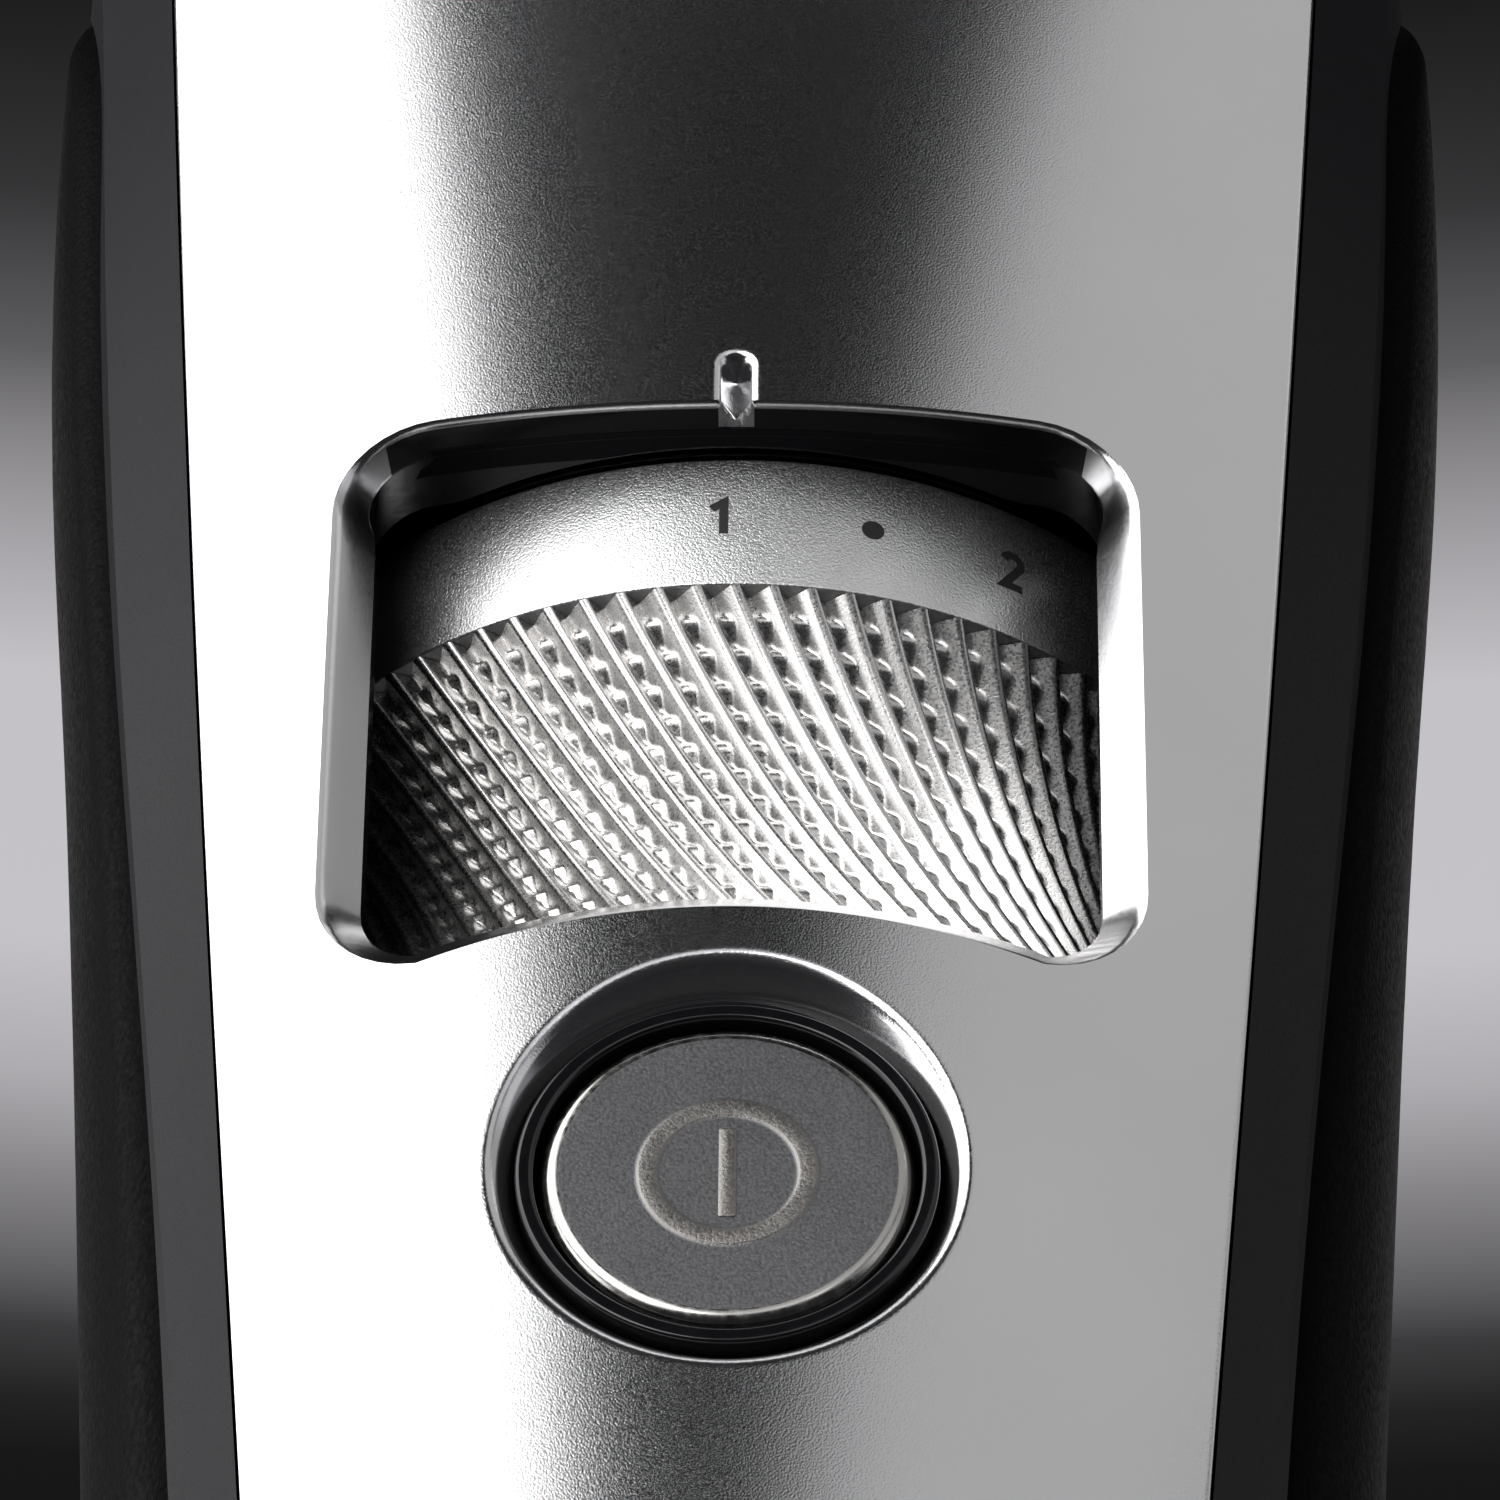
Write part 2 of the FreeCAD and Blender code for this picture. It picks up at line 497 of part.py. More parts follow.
# ---------------------------------------------------------------- motor and drive
def make_drive():
    tube = ring(MOTOR_R + 0.2, 11.2, 82.0, 112.0)
    lid = ring(3.6, MOTOR_R + 0.3, MOTOR_TOP + 0.1, 112.0)
    flange = ring(MOTOR_R + 0.2, 15.3, 82.0, 84.2)
    tray = box(-8.5, 8.5, BOARD_Y1 + 0.05, -9.2, 46, 82.4)
    chassis = fused([tube, lid, flange, tray])
    for side in (-1, 1):
        chassis = chassis.cut(rod(0.8, (0, side * 6.5, 108), (0, side * 6.5, 114)))
    write("chassis", chassis)

    can = rod(MOTOR_R, (0, 0, MOTOR_BOTTOM), (0, 0, MOTOR_TOP))
    can = can.cut(rod(MOTOR_R - 0.9, (0, 0, MOTOR_BOTTOM - 1), (0, 0, MOTOR_TOP - 1.0)))
    can = can.cut(rod(SHAFT_R + 0.1, (0, 0, 100), (0, 0, 120)))
    for side in (-1, 1):
        can = can.cut(rod(0.8, (0, side * 6.5, 108), (0, side * 6.5, 114)))
    write("motor_can", can)
    write("motor_end_cap", ring(SHAFT_R + 0.1, 9.1, 80.6, MOTOR_BOTTOM - 0.02))
    magnets = ring(7.3, 8.95, 86, 106).cut(box(-2.2, 2.2, -12, 12, 80, 110))
    write("motor_magnets", magnets)
    brushes = []
    for side in (-1, 1):
        x0, x1 = sorted((side * 2.65, side * 3.3))
        brushes.append(box(x0, x1, -1, 1, MOTOR_BOTTOM, 85.6))
    write("motor_brushes", Part.Compound(brushes))
    screws = []
    for side in (-1, 1):
        head = rod(1.4, (0, side * 6.5, 112.0), (0, side * 6.5, 112.9))
        screws.append(head.fuse(rod(0.78, (0, side * 6.5, 109.2), (0, side * 6.5, 112.0))))
    write("motor_screws", Part.Compound(screws))

    write("motor_shaft", rod(SHAFT_R, (0, 0, 79.6), (0, 0, 118.0)))
    core = ring(SHAFT_R, 6.9, 87, 105)
    for i in range(3):
        slot = box(3.0, 8.0, -0.7, 0.7, 86, 106)
        slot.rotate(V(0, 0, 0), V(0, 0, 1), 120 * i)
        core = core.cut(slot)
    write("armature", core)
    write("commutator", ring(SHAFT_R, 2.5, 83.2, 86.6))
    cam = rod(CAM_R, (0, -CAM_THROW, CAM_Z0), (0, -CAM_THROW, CAM_Z1))
    hub = rod(CAM_R + CAM_THROW - 0.3, (0, 0, CAM_Z0 - 0.8), (0, 0, CAM_Z0))
    cam = cam.fuse(hub).cut(rod(SHAFT_R, (0, 0, 110), (0, 0, 120)))
    write("eccentric_cam", cam.removeSplitter())

    slot_half = CAM_R + CAM_THROW + 0.25
    prongs = box(-slot_half - 1.6, slot_half + 1.6, -1.4, 1.4, CAM_Z0 + 0.8, 120.5)
    prongs = prongs.cut(box(-slot_half, slot_half, -3, 3, CAM_Z0 - 1, 118.8))
    bar = box(-1.7, 1.7, -1.4, 1.4, 119.5, LEVER_PIN_Z + 1.2)
    hub = rod(2.7, (0, -1.4, LEVER_PIVOT_Z), (0, 1.4, LEVER_PIVOT_Z))
    pin = rod(1.2, (0, -6.2, LEVER_PIN_Z), (0, 0, LEVER_PIN_Z))
    lever = fused([prongs, bar, hub, pin])
    bore = rod(1.06, (0, -3, LEVER_PIVOT_Z), (0, 3, LEVER_PIVOT_Z))
    write("drive_lever", lever.cut(bore))
    write("lever_pin", rod(1.0, (0, -4.5, LEVER_PIVOT_Z), (0, 4.5, LEVER_PIVOT_Z)))


# ---------------------------------------------------------------- cutting head
def to_blade(shape):
    """Moves a shape drawn flat to the blade plane.

    Drawn with x across, y towards the tooth tips from the tip line, z inwards from the skin face.
    """
    shape.rotate(V(0, 0, 0), V(1, 0, 0), 90 + BLADE_TILT_DEG)
    shape.translate(V(0, BLADE_TIP_Y, BLADE_TIP_Z))
    return shape


def blade_point(along, inwards):
    """(y, z) of a point in the blade plane's own measures."""
    tilt = math.radians(BLADE_TILT_DEG)
    y = BLADE_TIP_Y - along * math.sin(tilt) - inwards * math.cos(tilt)
    z = BLADE_TIP_Z + along * math.cos(tilt) - inwards * math.sin(tilt)
    return (y, z)


def comb_plate(half_width, back, tip, depth, z0, z1):
    """Toothed blade outline: straight back edge and pointed teeth."""
    count = int(2 * half_width / TOOTH_PITCH)
    start = -count * TOOTH_PITCH / 2
    points = [(-half_width, back), (half_width, back), (half_width, tip - depth)]
    for i in range(count, 0, -1):
        right = start + i * TOOTH_PITCH
        left = right - TOOTH_PITCH
        mid = (left + right) / 2
        points += [(right - 0.32, tip - depth), (mid + 0.22, tip - 0.3), (mid, tip),
                   (mid - 0.22, tip - 0.3), (left + 0.32, tip - depth)]
    points.append((-half_width, tip - depth))
    return slab_xy(points, z0, z1)


def make_head():
    top, half = BODY_TOP, NECK_HALF_WIDTH
    plate = body_loft(CAVITY_HEIGHTS, WALL + 0.12, False)
    plate = plate.common(box(-40, 40, -40, 40, top - 5, top))
    neck = neck_tube(top, NECK_TOP, half, (-15.5, 13.5), (-13.5, 13.0))
    hollow = neck_tube(top - 1.0, NECK_TOP + 1, half - 1.6, (-13.9, 11.9), (-11.9, 11.4))
    seat = fused([plate, neck]).cut(hollow)
    seat = seat.cut(box(-4.2, 4.2, -1.8, 1.8, top - 6, top + 1))
    seat = seat.cut(rod(1.0, (0, -4.5, LEVER_PIVOT_Z), (0, 4.5, LEVER_PIVOT_Z)))
    for side in (-1, 1):
        x0, x1 = sorted((side * (ARM_IN - 0.4), side * (ARM_OUT + 0.4)))
        slot = box(x0, x1, -ARM_HALF_DEPTH - 0.4, ARM_HALF_DEPTH + 0.4, top - 6, top + 1)
        seat = seat.cut(slot)
    write("head_seat", seat)
    seal = box(-9, 9, -5, 5, top - 0.98, top)
    write("drive_seal", seal.cut(box(-2.7, 2.7, -2.0, 2.0, top - 2, top + 1)))

    outline = [(13.0, NECK_TOP + 0.05), (12.5, NECK_TOP + 2), blade_point(-16.0, 0.9),
               blade_point(-7.0, 0.95), blade_point(-7.0, 5.6), (-13.4, NECK_TOP + 0.05)]
    inside = [(11.4, NECK_TOP - 1), (11.2, NECK_TOP + 0.7), blade_point(-16.4, 2.6),
              blade_point(-4.0, 2.6), blade_point(-4.0, 4.6), blade_point(-8.0, 5.2),
              (-11.8, NECK_TOP - 1)]
    wall_x = BLADE_HALF_WIDTH - 1.4
    base = slab_yz(outline, -BLADE_HALF_WIDTH, BLADE_HALF_WIDTH)
    base = base.cut(slab_yz(inside, -wall_x, wall_x))
    bed = to_blade(box(-wall_x, wall_x, -12.4, 1.0, 0.5, 4.8))
    base = base.cut(bed).cut(to_blade(screw_holes(0.8, 0.5, 4.0)))
    write("blade_base", base)

    fixed = comb_plate(BLADE_HALF_WIDTH, -16.0, 0.0, TOOTH_DEPTH, 0.0, 0.88)
    fixed = fixed.cut(screw_holes(1.5, -1.0, 2.0))
    write("fixed_blade", to_blade(fixed))
    screws = screw_holes(1.45, -0.25, 0.88).fuse(screw_holes(0.78, 0.8, 2.5))
    write("blade_screws", to_blade(screws.removeSplitter()))

    moving = comb_plate(wall_x - STROKE - 0.3, -11.0, -1.2, 4.4, 0.97, 1.7)
    write("moving_blade", to_blade(moving))
    carrier = box(-9, 9, -10.5, -4.5, 1.72, 4.4)
    tail = box(-3.2, 3.2, -21.3, -10.0, 2.9, 4.4)
    slot = box(-1.3, 1.3, -23, -16.4, 0, 6)
    write("cutter_carrier", to_blade(fused([carrier, tail]).cut(slot)))

    strip = [(-10.5, NECK_TOP + 1), (-10.2, NECK_TOP + 1), (-8.6, NECK_TOP + 5.6),
             (-9.4, NECK_TOP + 8.2), (-9.7, NECK_TOP + 8.1), (-8.9, NECK_TOP + 5.6)]
    write("blade_spring", slab_yz(strip, -6.0, 6.0))


def neck_tube(z0, z1, half, span_low, span_high, corner=4.0):
    """Block with rounded corners whose front and back faces lean between two heights."""
    low = neck_wire(z0, half, span_low[0], span_low[1], corner)
    high = neck_wire(z1, half, span_high[0], span_high[1], corner)
    return Part.makeLoft([low, high], True, True)


def neck_wire(z, half, y0, y1, r):
    k = r * (1 - math.sqrt(0.5))
    corners = [(half, y0, -1, 1), (half, y1, -1, -1), (-half, y1, 1, -1), (-half, y0, 1, 1)]
    edges = []
    starts = []
    for i, (x, y, sx, sy) in enumerate(corners):
        along_x, along_y = V(x + sx * r, y, z), V(x, y + sy * r, z)
        a, b = (along_x, along_y) if i % 2 == 0 else (along_y, along_x)
        starts.append((a, b))
        edges.append(Part.Arc(a, V(x + sx * k, y + sy * k, z), b).toShape())
    joined = []
    for i in range(4):
        joined.append(edges[i])
        joined.append(Part.LineSegment(starts[i][1], starts[(i + 1) % 4][0]).toShape())
    return Part.Wire(joined)


def screw_holes(radius, z0, z1):
    x, back = BLADE_SCREW_X, -14.2
    left, right = rod(radius, (-x, back, z0), (-x, back, z1)), rod(radius, (x, back, z0), (x, back, z1))
    return left.fuse(right)


# ---------------------------------------------------------------- comb attachment
def make_comb():
    half, rim = COMB_INNER_X + COMB_WALL, COMB_RIM
    span, room = (COMB_Y0, COMB_Y1), (COMB_Y0 + COMB_WALL, COMB_Y1 - COMB_WALL)
    skirt = neck_tube(COMB_BOTTOM, rim, half, span, span, corner=2.6)
    skirt = skirt.cut(neck_tube(COMB_BOTTOM - 1, rim + 1, COMB_INNER_X, room, room, corner=1.4))
    pieces = [skirt]
    cheek = [(12.6, rim - 1), (12.6, rim + 5), (5.0, rim + 12.5), (-4.0, rim + 14.0),
             (-10.0, rim + 8.5), (-14.4, rim - 1)]
    for side in (-1, 1):
        x0, x1 = sorted((side * COMB_INNER_X, side * half))
        pieces.append(slab_yz(cheek, x0, x1))
    pieces.append(box(-half + 2.6, half - 2.6, room[1], COMB_Y1, rim - 1, rim + 4.5))
    pieces.append(box(-half + 0.3, half - 0.3, 11.8, room[1] + 0.4, rim + 2.2, rim + 4.4))
    tip = BLADE_TIP_Z
    tine = [(COMB_Y1, rim - 0.5), (COMB_Y1, rim + 4.5), (11.5, rim + 8.6), (4.5, rim + 13.4),
            (-3.0, tip - 0.7), (-9.0, tip + 1.35), (-13.2, tip + 0.9), (-16.3, tip - 1.4),
            (-17.5, tip - 4.8), (-16.3, tip - 5.0), (-14.9, tip - 2.0), (-12.0, tip + 0.1),
            (-9.2, tip + 0.7), (-8.2, tip + 0.5), blade_point(-2.0, -0.8), blade_point(-16.0, -0.8),
            (12.6, rim + 1.6), (13.6, rim - 0.5)]
    count = int((COMB_INNER_X - 2.0) / TINE_PITCH)
    for i in range(-count, count + 1):
        x = i * TINE_PITCH
        pieces.append(slab_yz(tine, x - TINE_THICK / 2, x + TINE_THICK / 2))
    write("comb_attachment", fused(pieces))


make_casing()
make_base()
make_electronics()
make_dial()
make_lifter()
make_drive()
make_head()
make_comb()
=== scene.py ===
"""Looks of the beard trimmer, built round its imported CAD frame.

The shape functions work in millimetres in the CAD frame: +Z up the handle, -Y out of the dial side.
"""
import json
import math

import bmesh
import bpy
from mathutils import Matrix, Quaternion, Vector
from mathutils.geometry import delaunay_2d_cdt
from mathutils.bvhtree import BVHTree
from mathutils.kdtree import KDTree


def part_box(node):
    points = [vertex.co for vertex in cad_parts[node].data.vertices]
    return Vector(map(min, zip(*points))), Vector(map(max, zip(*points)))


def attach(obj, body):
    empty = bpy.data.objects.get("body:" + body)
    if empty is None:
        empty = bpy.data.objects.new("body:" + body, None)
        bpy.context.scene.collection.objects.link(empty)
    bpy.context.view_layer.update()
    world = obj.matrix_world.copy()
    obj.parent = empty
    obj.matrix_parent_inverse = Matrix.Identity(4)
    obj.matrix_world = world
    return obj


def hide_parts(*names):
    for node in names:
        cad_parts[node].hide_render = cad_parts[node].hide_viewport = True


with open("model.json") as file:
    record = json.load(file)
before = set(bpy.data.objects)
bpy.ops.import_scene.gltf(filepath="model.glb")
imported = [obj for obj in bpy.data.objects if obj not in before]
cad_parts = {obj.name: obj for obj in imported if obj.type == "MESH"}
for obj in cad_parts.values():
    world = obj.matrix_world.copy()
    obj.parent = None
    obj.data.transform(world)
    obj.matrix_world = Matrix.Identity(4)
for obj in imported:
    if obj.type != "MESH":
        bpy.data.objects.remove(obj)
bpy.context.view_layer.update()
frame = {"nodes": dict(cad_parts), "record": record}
nodes = frame["nodes"]
MM = 0.001

# ---------------------------------------------------------------- dimensions
FRONT_PEAK_Y, FRONT_PEAK_Z = -21.0, 104.0   # the front's middle line bows back above and below here
BOW_BELOW, BOW_ABOVE = 5.4, 15.0
PANEL_ARC_RADIUS, PANEL_THICK = 57.0, 1.2
PANEL_BOTTOM, PANEL_TOP = 9.2, 143.5
PANEL_HALF_WIDTH = [(0, 11.0), (30, 13.2), (62, 15.9), (86, 18.0), (106, 19.6), (132, 21.5),
                    (146, 22.4)]
WINDOW_HALF_WIDTH, WINDOW_BOTTOM, WINDOW_TOP = 14.0, 84.75, 106.6
WINDOW_CORNER, WINDOW_DIP = 3.2, 1.75
WINDOW_SKIRT, SKIRT_WALL = 4.2, 0.85        # depth of the wall round the window, and its thickness
WINDOW_BEVEL, BEVEL_OUTSIDE = 1.6, 0.55     # bevel round the window, and its part outside the line
WALL_INSET, WALL_INSET_Y = -0.9, -24.0      # the window's inset where the face lies at this y
WALL_INSET_GAIN, WALL_INSET_RUN = 2.55, 11.0    # more inset over this much further back
WALL_CLEAR_R = 18.75        # the wall stays at least this far from the dial's axis
GRIP_ROUND, GRIP_FALL, GRIP_THICK = 1.9, 1.35, 1.95     # edge width and drop, and thickness
BUTTON_Z, BUTTON_R, BUTTON_SINK = 73.6, 6.3, 0.84
BUTTON_ROUND = 0.62
SYMBOL_RAISE, SYMBOL_INNER_R, SYMBOL_OUTER_R = 0.055, 2.35, 3.06
SYMBOL_BAR_HALF_X, SYMBOL_BAR_HALF_Z = 0.30, 1.85
RECESS_R, RECESS_TAPER, RECESS_FLOOR = 8.65, 0.725, 1.5     # widest radius, slope, floor depth
LAMP_Z, LAMP_R = 50.0, 1.3
POINTER_HALF, POINTER_DEPTH, POINTER_TOP = 0.56, 1.0, 109.45
POINTER_RIM, POINTER_RIM_WIDTH = 0.10, 0.55     # rolled rim: drop, and width in half widths
EDGE_LAND = 0.12            # flat ring round the rolled edges of the window and the recess

DIAL_BOTTOM, DIAL_SPLIT, DIAL_TOP = 85.6, 100.8, 106.8
DIAL_R, DIAL_TOP_R, DIAL_WAIST_R, DIAL_BOTTOM_R = 18.35, 18.3, 16.4, 18.3
DIAL_BORE_R, DIAL_ROOM_R = 15.0, 18.9
DIAL_STEPS = 21             # settings per turn of the dial
LAST_NUMERAL = 10
MARK_OFFSET = math.radians(1.7)     # the marks sit a little left of the pointer at rest
RIDGES = 84
RIDGE_PITCH = math.tau * DIAL_R / RIDGES
CREST_ROUND, CREST_HALF = 0.34, 0.165
LEFT_FLANK, RIGHT_FLANK = 45.0, 62.0        # degrees
BUMP_PITCH = 1.17           # height of one step of the valley floor
VALLEY_DROP, BUMP_RISE = 0.64, 0.33
SEAL_BOTTOM, SEAL_LIP, SEAL_TOP = 107.15, 107.62, 108.15
SEAL_INNER_R, SEAL_LIP_R = 14.2, 18.12
STROKE, DIGIT_HALF_HEIGHT = 0.165, 0.86     # half width of a numeral's stroke, half its height
DIGIT_PITCH = 1.16
DOT_R, PRINT_RAISE = 0.42, 0.018
MARK_HEIGHT = 3.15          # the marks' middle above the ring's lower edge
WELD = 2e-7                 # metres: points nearer than this are one point

CAMERA_PLACE, CAMERA_TARGET = (4.1, -266.0, -114.7), (0.62, -20.9, 91.0)
CAMERA_LENS, CAMERA_SENSOR, CAMERA_ROLL = 222.7, 36.0, 0.6      # mm, mm, degrees


def smooth(table, z):
    """Value at z of a smooth curve through (z, value) pairs."""
    def slope(i):
        lo, hi = max(i - 1, 0), min(i + 1, len(table) - 1)
        return (table[hi][1] - table[lo][1]) / (table[hi][0] - table[lo][0])

    for i in range(len(table) - 1):
        (z0, v0), (z1, v1) = table[i], table[i + 1]
        if z <= z1 or i == len(table) - 2:
            h = z1 - z0
            t = (z - z0) / h
            return (v0 * (1 + 2 * t) * (1 - t) ** 2 + slope(i) * h * t * (1 - t) ** 2
                    + v1 * t * t * (3 - 2 * t) - slope(i + 1) * h * t * t * (1 - t))


def front_y(z):
    """The panel's middle line."""
    bow = BOW_BELOW if z < FRONT_PEAK_Z else BOW_ABOVE
    return FRONT_PEAK_Y + bow * ((z - FRONT_PEAK_Z) / FRONT_PEAK_Z) ** 2


def arc_sag(x):
    """How far the panel's face curves back at x from its middle line."""
    return PANEL_ARC_RADIUS - math.sqrt(PANEL_ARC_RADIUS ** 2 - x * x)


def face_y(x, z):
    """The panel's face, without its pointer notch and openings."""
    return front_y(z) + arc_sag(x)


BUTTON_Y = front_y(BUTTON_Z)


def pointer_dip(x, z):
    """Depth of the V-shaped pointer notch, with a rounded end and a rolled rim."""
    if z < WINDOW_TOP - 4:
        return 0.0
    end = POINTER_TOP - POINTER_HALF
    away = (abs(x) if z < end else math.hypot(x, z - end)) / POINTER_HALF
    rim = POINTER_RIM * max(0.0, 1 - max(0.0, away - 1) / POINTER_RIM_WIDTH) ** 2
    return (POINTER_DEPTH - POINTER_RIM) * max(0.0, 1 - away) + rim


# ---------------------------------------------------------------- mesh helpers
def new_piece(name, points, faces, materials, body, stands_for=(), sharp=35.0):
    """Adds a mesh given in millimetres, riding on a body."""
    mesh = bpy.data.meshes.new(name)
    mesh.from_pydata([Vector(p) * MM for p in points], [], faces)
    bm = bmesh.new()
    bm.from_mesh(mesh)
    bmesh.ops.remove_doubles(bm, verts=bm.verts, dist=WELD)
    bmesh.ops.dissolve_degenerate(bm, edges=bm.edges, dist=WELD)
    bmesh.ops.recalc_face_normals(bm, faces=bm.faces)
    bm.to_mesh(mesh)
    bm.free()
    for material in materials:
        mesh.materials.append(material)
    for polygon in mesh.polygons:
        polygon.use_smooth = True
    mesh.set_sharp_from_angle(angle=math.radians(sharp))
    piece = bpy.data.objects.new(name, mesh)
    bpy.context.scene.collection.objects.link(piece)
    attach(piece, body)
    if stands_for:
        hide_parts(*stands_for)
    return piece


def torus_faces(columns, rows):
    """Faces of a grid of points, column by column, that closes on itself both ways."""
    faces = []
    for i in range(columns):
        j = (i + 1) % columns
        for k in range(rows):
            m = (k + 1) % rows
            faces.append((i * rows + k, j * rows + k, j * rows + m, i * rows + m))
    return faces


def band_faces(lower, upper, count):
    """Faces between two closed rings whose points start at these indexes."""
    return [(lower + i, lower + (i + 1) % count, upper + (i + 1) % count, upper + i)
            for i in range(count)]


def lathe(profile, count, place):
    """Points and faces of a closed (radius, along) profile turned round an axis.

    place(radius, angle, along) gives the point.
    """
    points = [place(r, math.tau * i / count, a) for i in range(count) for r, a in profile]
    return points, torus_faces(count, len(profile))


def about_z(r, angle, z):
    return (r * math.sin(angle), -r * math.cos(angle), z)


def about_button(r, angle, y):
    return (r * math.cos(angle), BUTTON_Y + y, BUTTON_Z + r * math.sin(angle))


def round_corners(corners, radii, steps=5):
    """Rounds the corners of a closed (a, b) polygon."""
    out = []
    for i, (corner, radius) in enumerate(zip(corners, radii)):
        p = Vector(corner)
        before = (Vector(corners[i - 1]) - p).normalized()
        after = (Vector(corners[(i + 1) % len(corners)]) - p).normalized()
        if radius == 0:
            out.append(tuple(p))
            continue
        half = before.angle(after) / 2
        reach = radius / math.tan(half)
        centre = p + (before + after).normalized() * radius / math.sin(half)
        start = (p + before * reach - centre).normalized()
        stop = (p + after * reach - centre).normalized()
        for k in range(steps + 1):
            out.append(tuple(centre + start.slerp(stop, k / steps) * radius))
    return out


# ---------------------------------------------------------------- materials
def grained(name, colour, metallic, roughness, grain, depth, tint=0.12, spread=0.08, coat=0.0,
            mottle=3.0, specular=0.5):
    """Moulded or blasted surface: fine grain with bump of this depth over a broad mottle (all mm).

    tint is how far the colour varies as a share, spread how far the roughness varies.
    """
    material = bpy.data.materials.new(name)
    material.use_nodes = True
    tree = material.node_tree
    shader = tree.nodes["Principled BSDF"]
    shader.inputs["Metallic"].default_value = metallic
    shader.inputs["Specular IOR Level"].default_value = specular
    shader.inputs["Coat Weight"].default_value = coat
    shader.inputs["Coat Roughness"].default_value = 0.08

    place = tree.nodes.new("ShaderNodeTexCoord")

    def noise(size, detail):
        node = tree.nodes.new("ShaderNodeTexNoise")
        node.inputs["Scale"].default_value = 1.0 / (size * MM)
        node.inputs["Detail"].default_value = detail
        tree.links.new(place.outputs["Object"], node.inputs["Vector"])
        return node.outputs["Fac"]

    fine, broad = noise(grain, 2.0), noise(mottle, 3.0)

    both = tree.nodes.new("ShaderNodeMath")
    both.operation = "ADD"
    tree.links.new(fine, both.inputs[0])
    tree.links.new(broad, both.inputs[1])
    half = tree.nodes.new("ShaderNodeMath")
    half.operation = "MULTIPLY"
    half.inputs[1].default_value = 0.5
    tree.links.new(both.outputs[0], half.inputs[0])

    ramp = tree.nodes.new("ShaderNodeValToRGB")
    ramp.color_ramp.elements[0].position = 0.3
    ramp.color_ramp.elements[1].position = 0.7
    ramp.color_ramp.elements[0].color = [c * (1 - tint) for c in colour] + [1]
    ramp.color_ramp.elements[1].color = [min(1.0, c * (1 + tint)) for c in colour] + [1]
    tree.links.new(half.outputs[0], ramp.inputs["Fac"])
    tree.links.new(ramp.outputs["Color"], shader.inputs["Base Color"])

    rough = tree.nodes.new("ShaderNodeMapRange")
    rough.inputs["From Min"].default_value = 0.3
    rough.inputs["From Max"].default_value = 0.7
    rough.inputs["To Min"].default_value = max(0.03, roughness - spread)
    rough.inputs["To Max"].default_value = min(1.0, roughness + spread)
    tree.links.new(fine, rough.inputs["Value"])
    tree.links.new(rough.outputs["Result"], shader.inputs["Roughness"])

    bump = tree.nodes.new("ShaderNodeBump")
    bump.inputs["Strength"].default_value = 1.0
    bump.inputs["Distance"].default_value = depth * MM
    tree.links.new(fine, bump.inputs["Height"])
    tree.links.new(bump.outputs["Normal"], shader.inputs["Normal"])
    return material


PANEL_SILVER = grained("panel_silver", (0.66, 0.66, 0.67), 1.0, 0.16, 0.075, 0.0050, tint=0.03,
                       spread=0.04, mottle=8.0)
WALL_SILVER = grained("wall_silver", (0.60, 0.60, 0.61), 1.0, 0.18, 0.12, 0.0012, tint=0.03,
                      spread=0.02)
SCALE_SILVER = grained("scale_silver", (0.80, 0.80, 0.80), 1.0, 0.36, 0.09, 0.026, tint=0.12)
KNURL_SILVER = grained("knurl_silver", (0.64, 0.63, 0.62), 1.0, 0.30, 0.10, 0.006, tint=0.12)
NUMERAL_BLACK = grained("numeral_black", (0.012, 0.012, 0.013), 0.0, 0.55, 0.08, 0.004)
BUTTON_METAL = grained("button_metal", (0.15, 0.15, 0.155), 0.8, 0.40, 0.12, 0.012, tint=0.14)
BUTTON_EDGE = grained("button_edge", (0.46, 0.45, 0.43), 1.0, 0.20, 0.4, 0.002, tint=0.05)
SYMBOL_METAL = grained("symbol_metal", (0.22, 0.21, 0.20), 1.0, 0.40, 0.10, 0.020, tint=0.25)
GLOSS_BLACK = grained("gloss_black", (0.006, 0.006, 0.007), 0.0, 0.12, 0.6, 0.002, spread=0.03)
DARK_SATIN = grained("dark_satin", (0.007, 0.007, 0.009), 0.0, 0.38, 0.09, 0.004, tint=0.15,
                     specular=0.08)
GRIP_RUBBER = grained("grip_rubber", (0.0014, 0.0012, 0.0012), 0.0, 0.46, 0.26, 0.045, tint=0.35,
                      spread=0.10, specular=0.015)
BLACK_PLASTIC = grained("black_plastic", (0.018, 0.018, 0.020), 0.0, 0.36, 0.15, 0.006, tint=0.2)
WHITE_PLASTIC = grained("white_plastic", (0.72, 0.71, 0.68), 0.0, 0.45, 0.2, 0.004, tint=0.04)
STEEL = grained("steel", (0.60, 0.60, 0.61), 1.0, 0.24, 0.12, 0.003, tint=0.06)
DARK_IRON = grained("dark_iron", (0.09, 0.09, 0.10), 0.9, 0.48, 0.2, 0.008, tint=0.25)
COPPER = grained("copper", (0.72, 0.36, 0.18), 1.0, 0.30, 0.3, 0.006, tint=0.12)
CELL_SLEEVE = grained("cell_sleeve", (0.05, 0.16, 0.34), 0.0, 0.30, 0.8, 0.002, tint=0.08)
BOARD_GREEN = grained("board_green", (0.02, 0.16, 0.07), 0.0, 0.35, 0.4, 0.006, tint=0.2)
LAMP_LENS = grained("lamp_lens", (0.45, 0.52, 0.42), 0.0, 0.14, 0.4, 0.002, tint=0.06, coat=0.4)

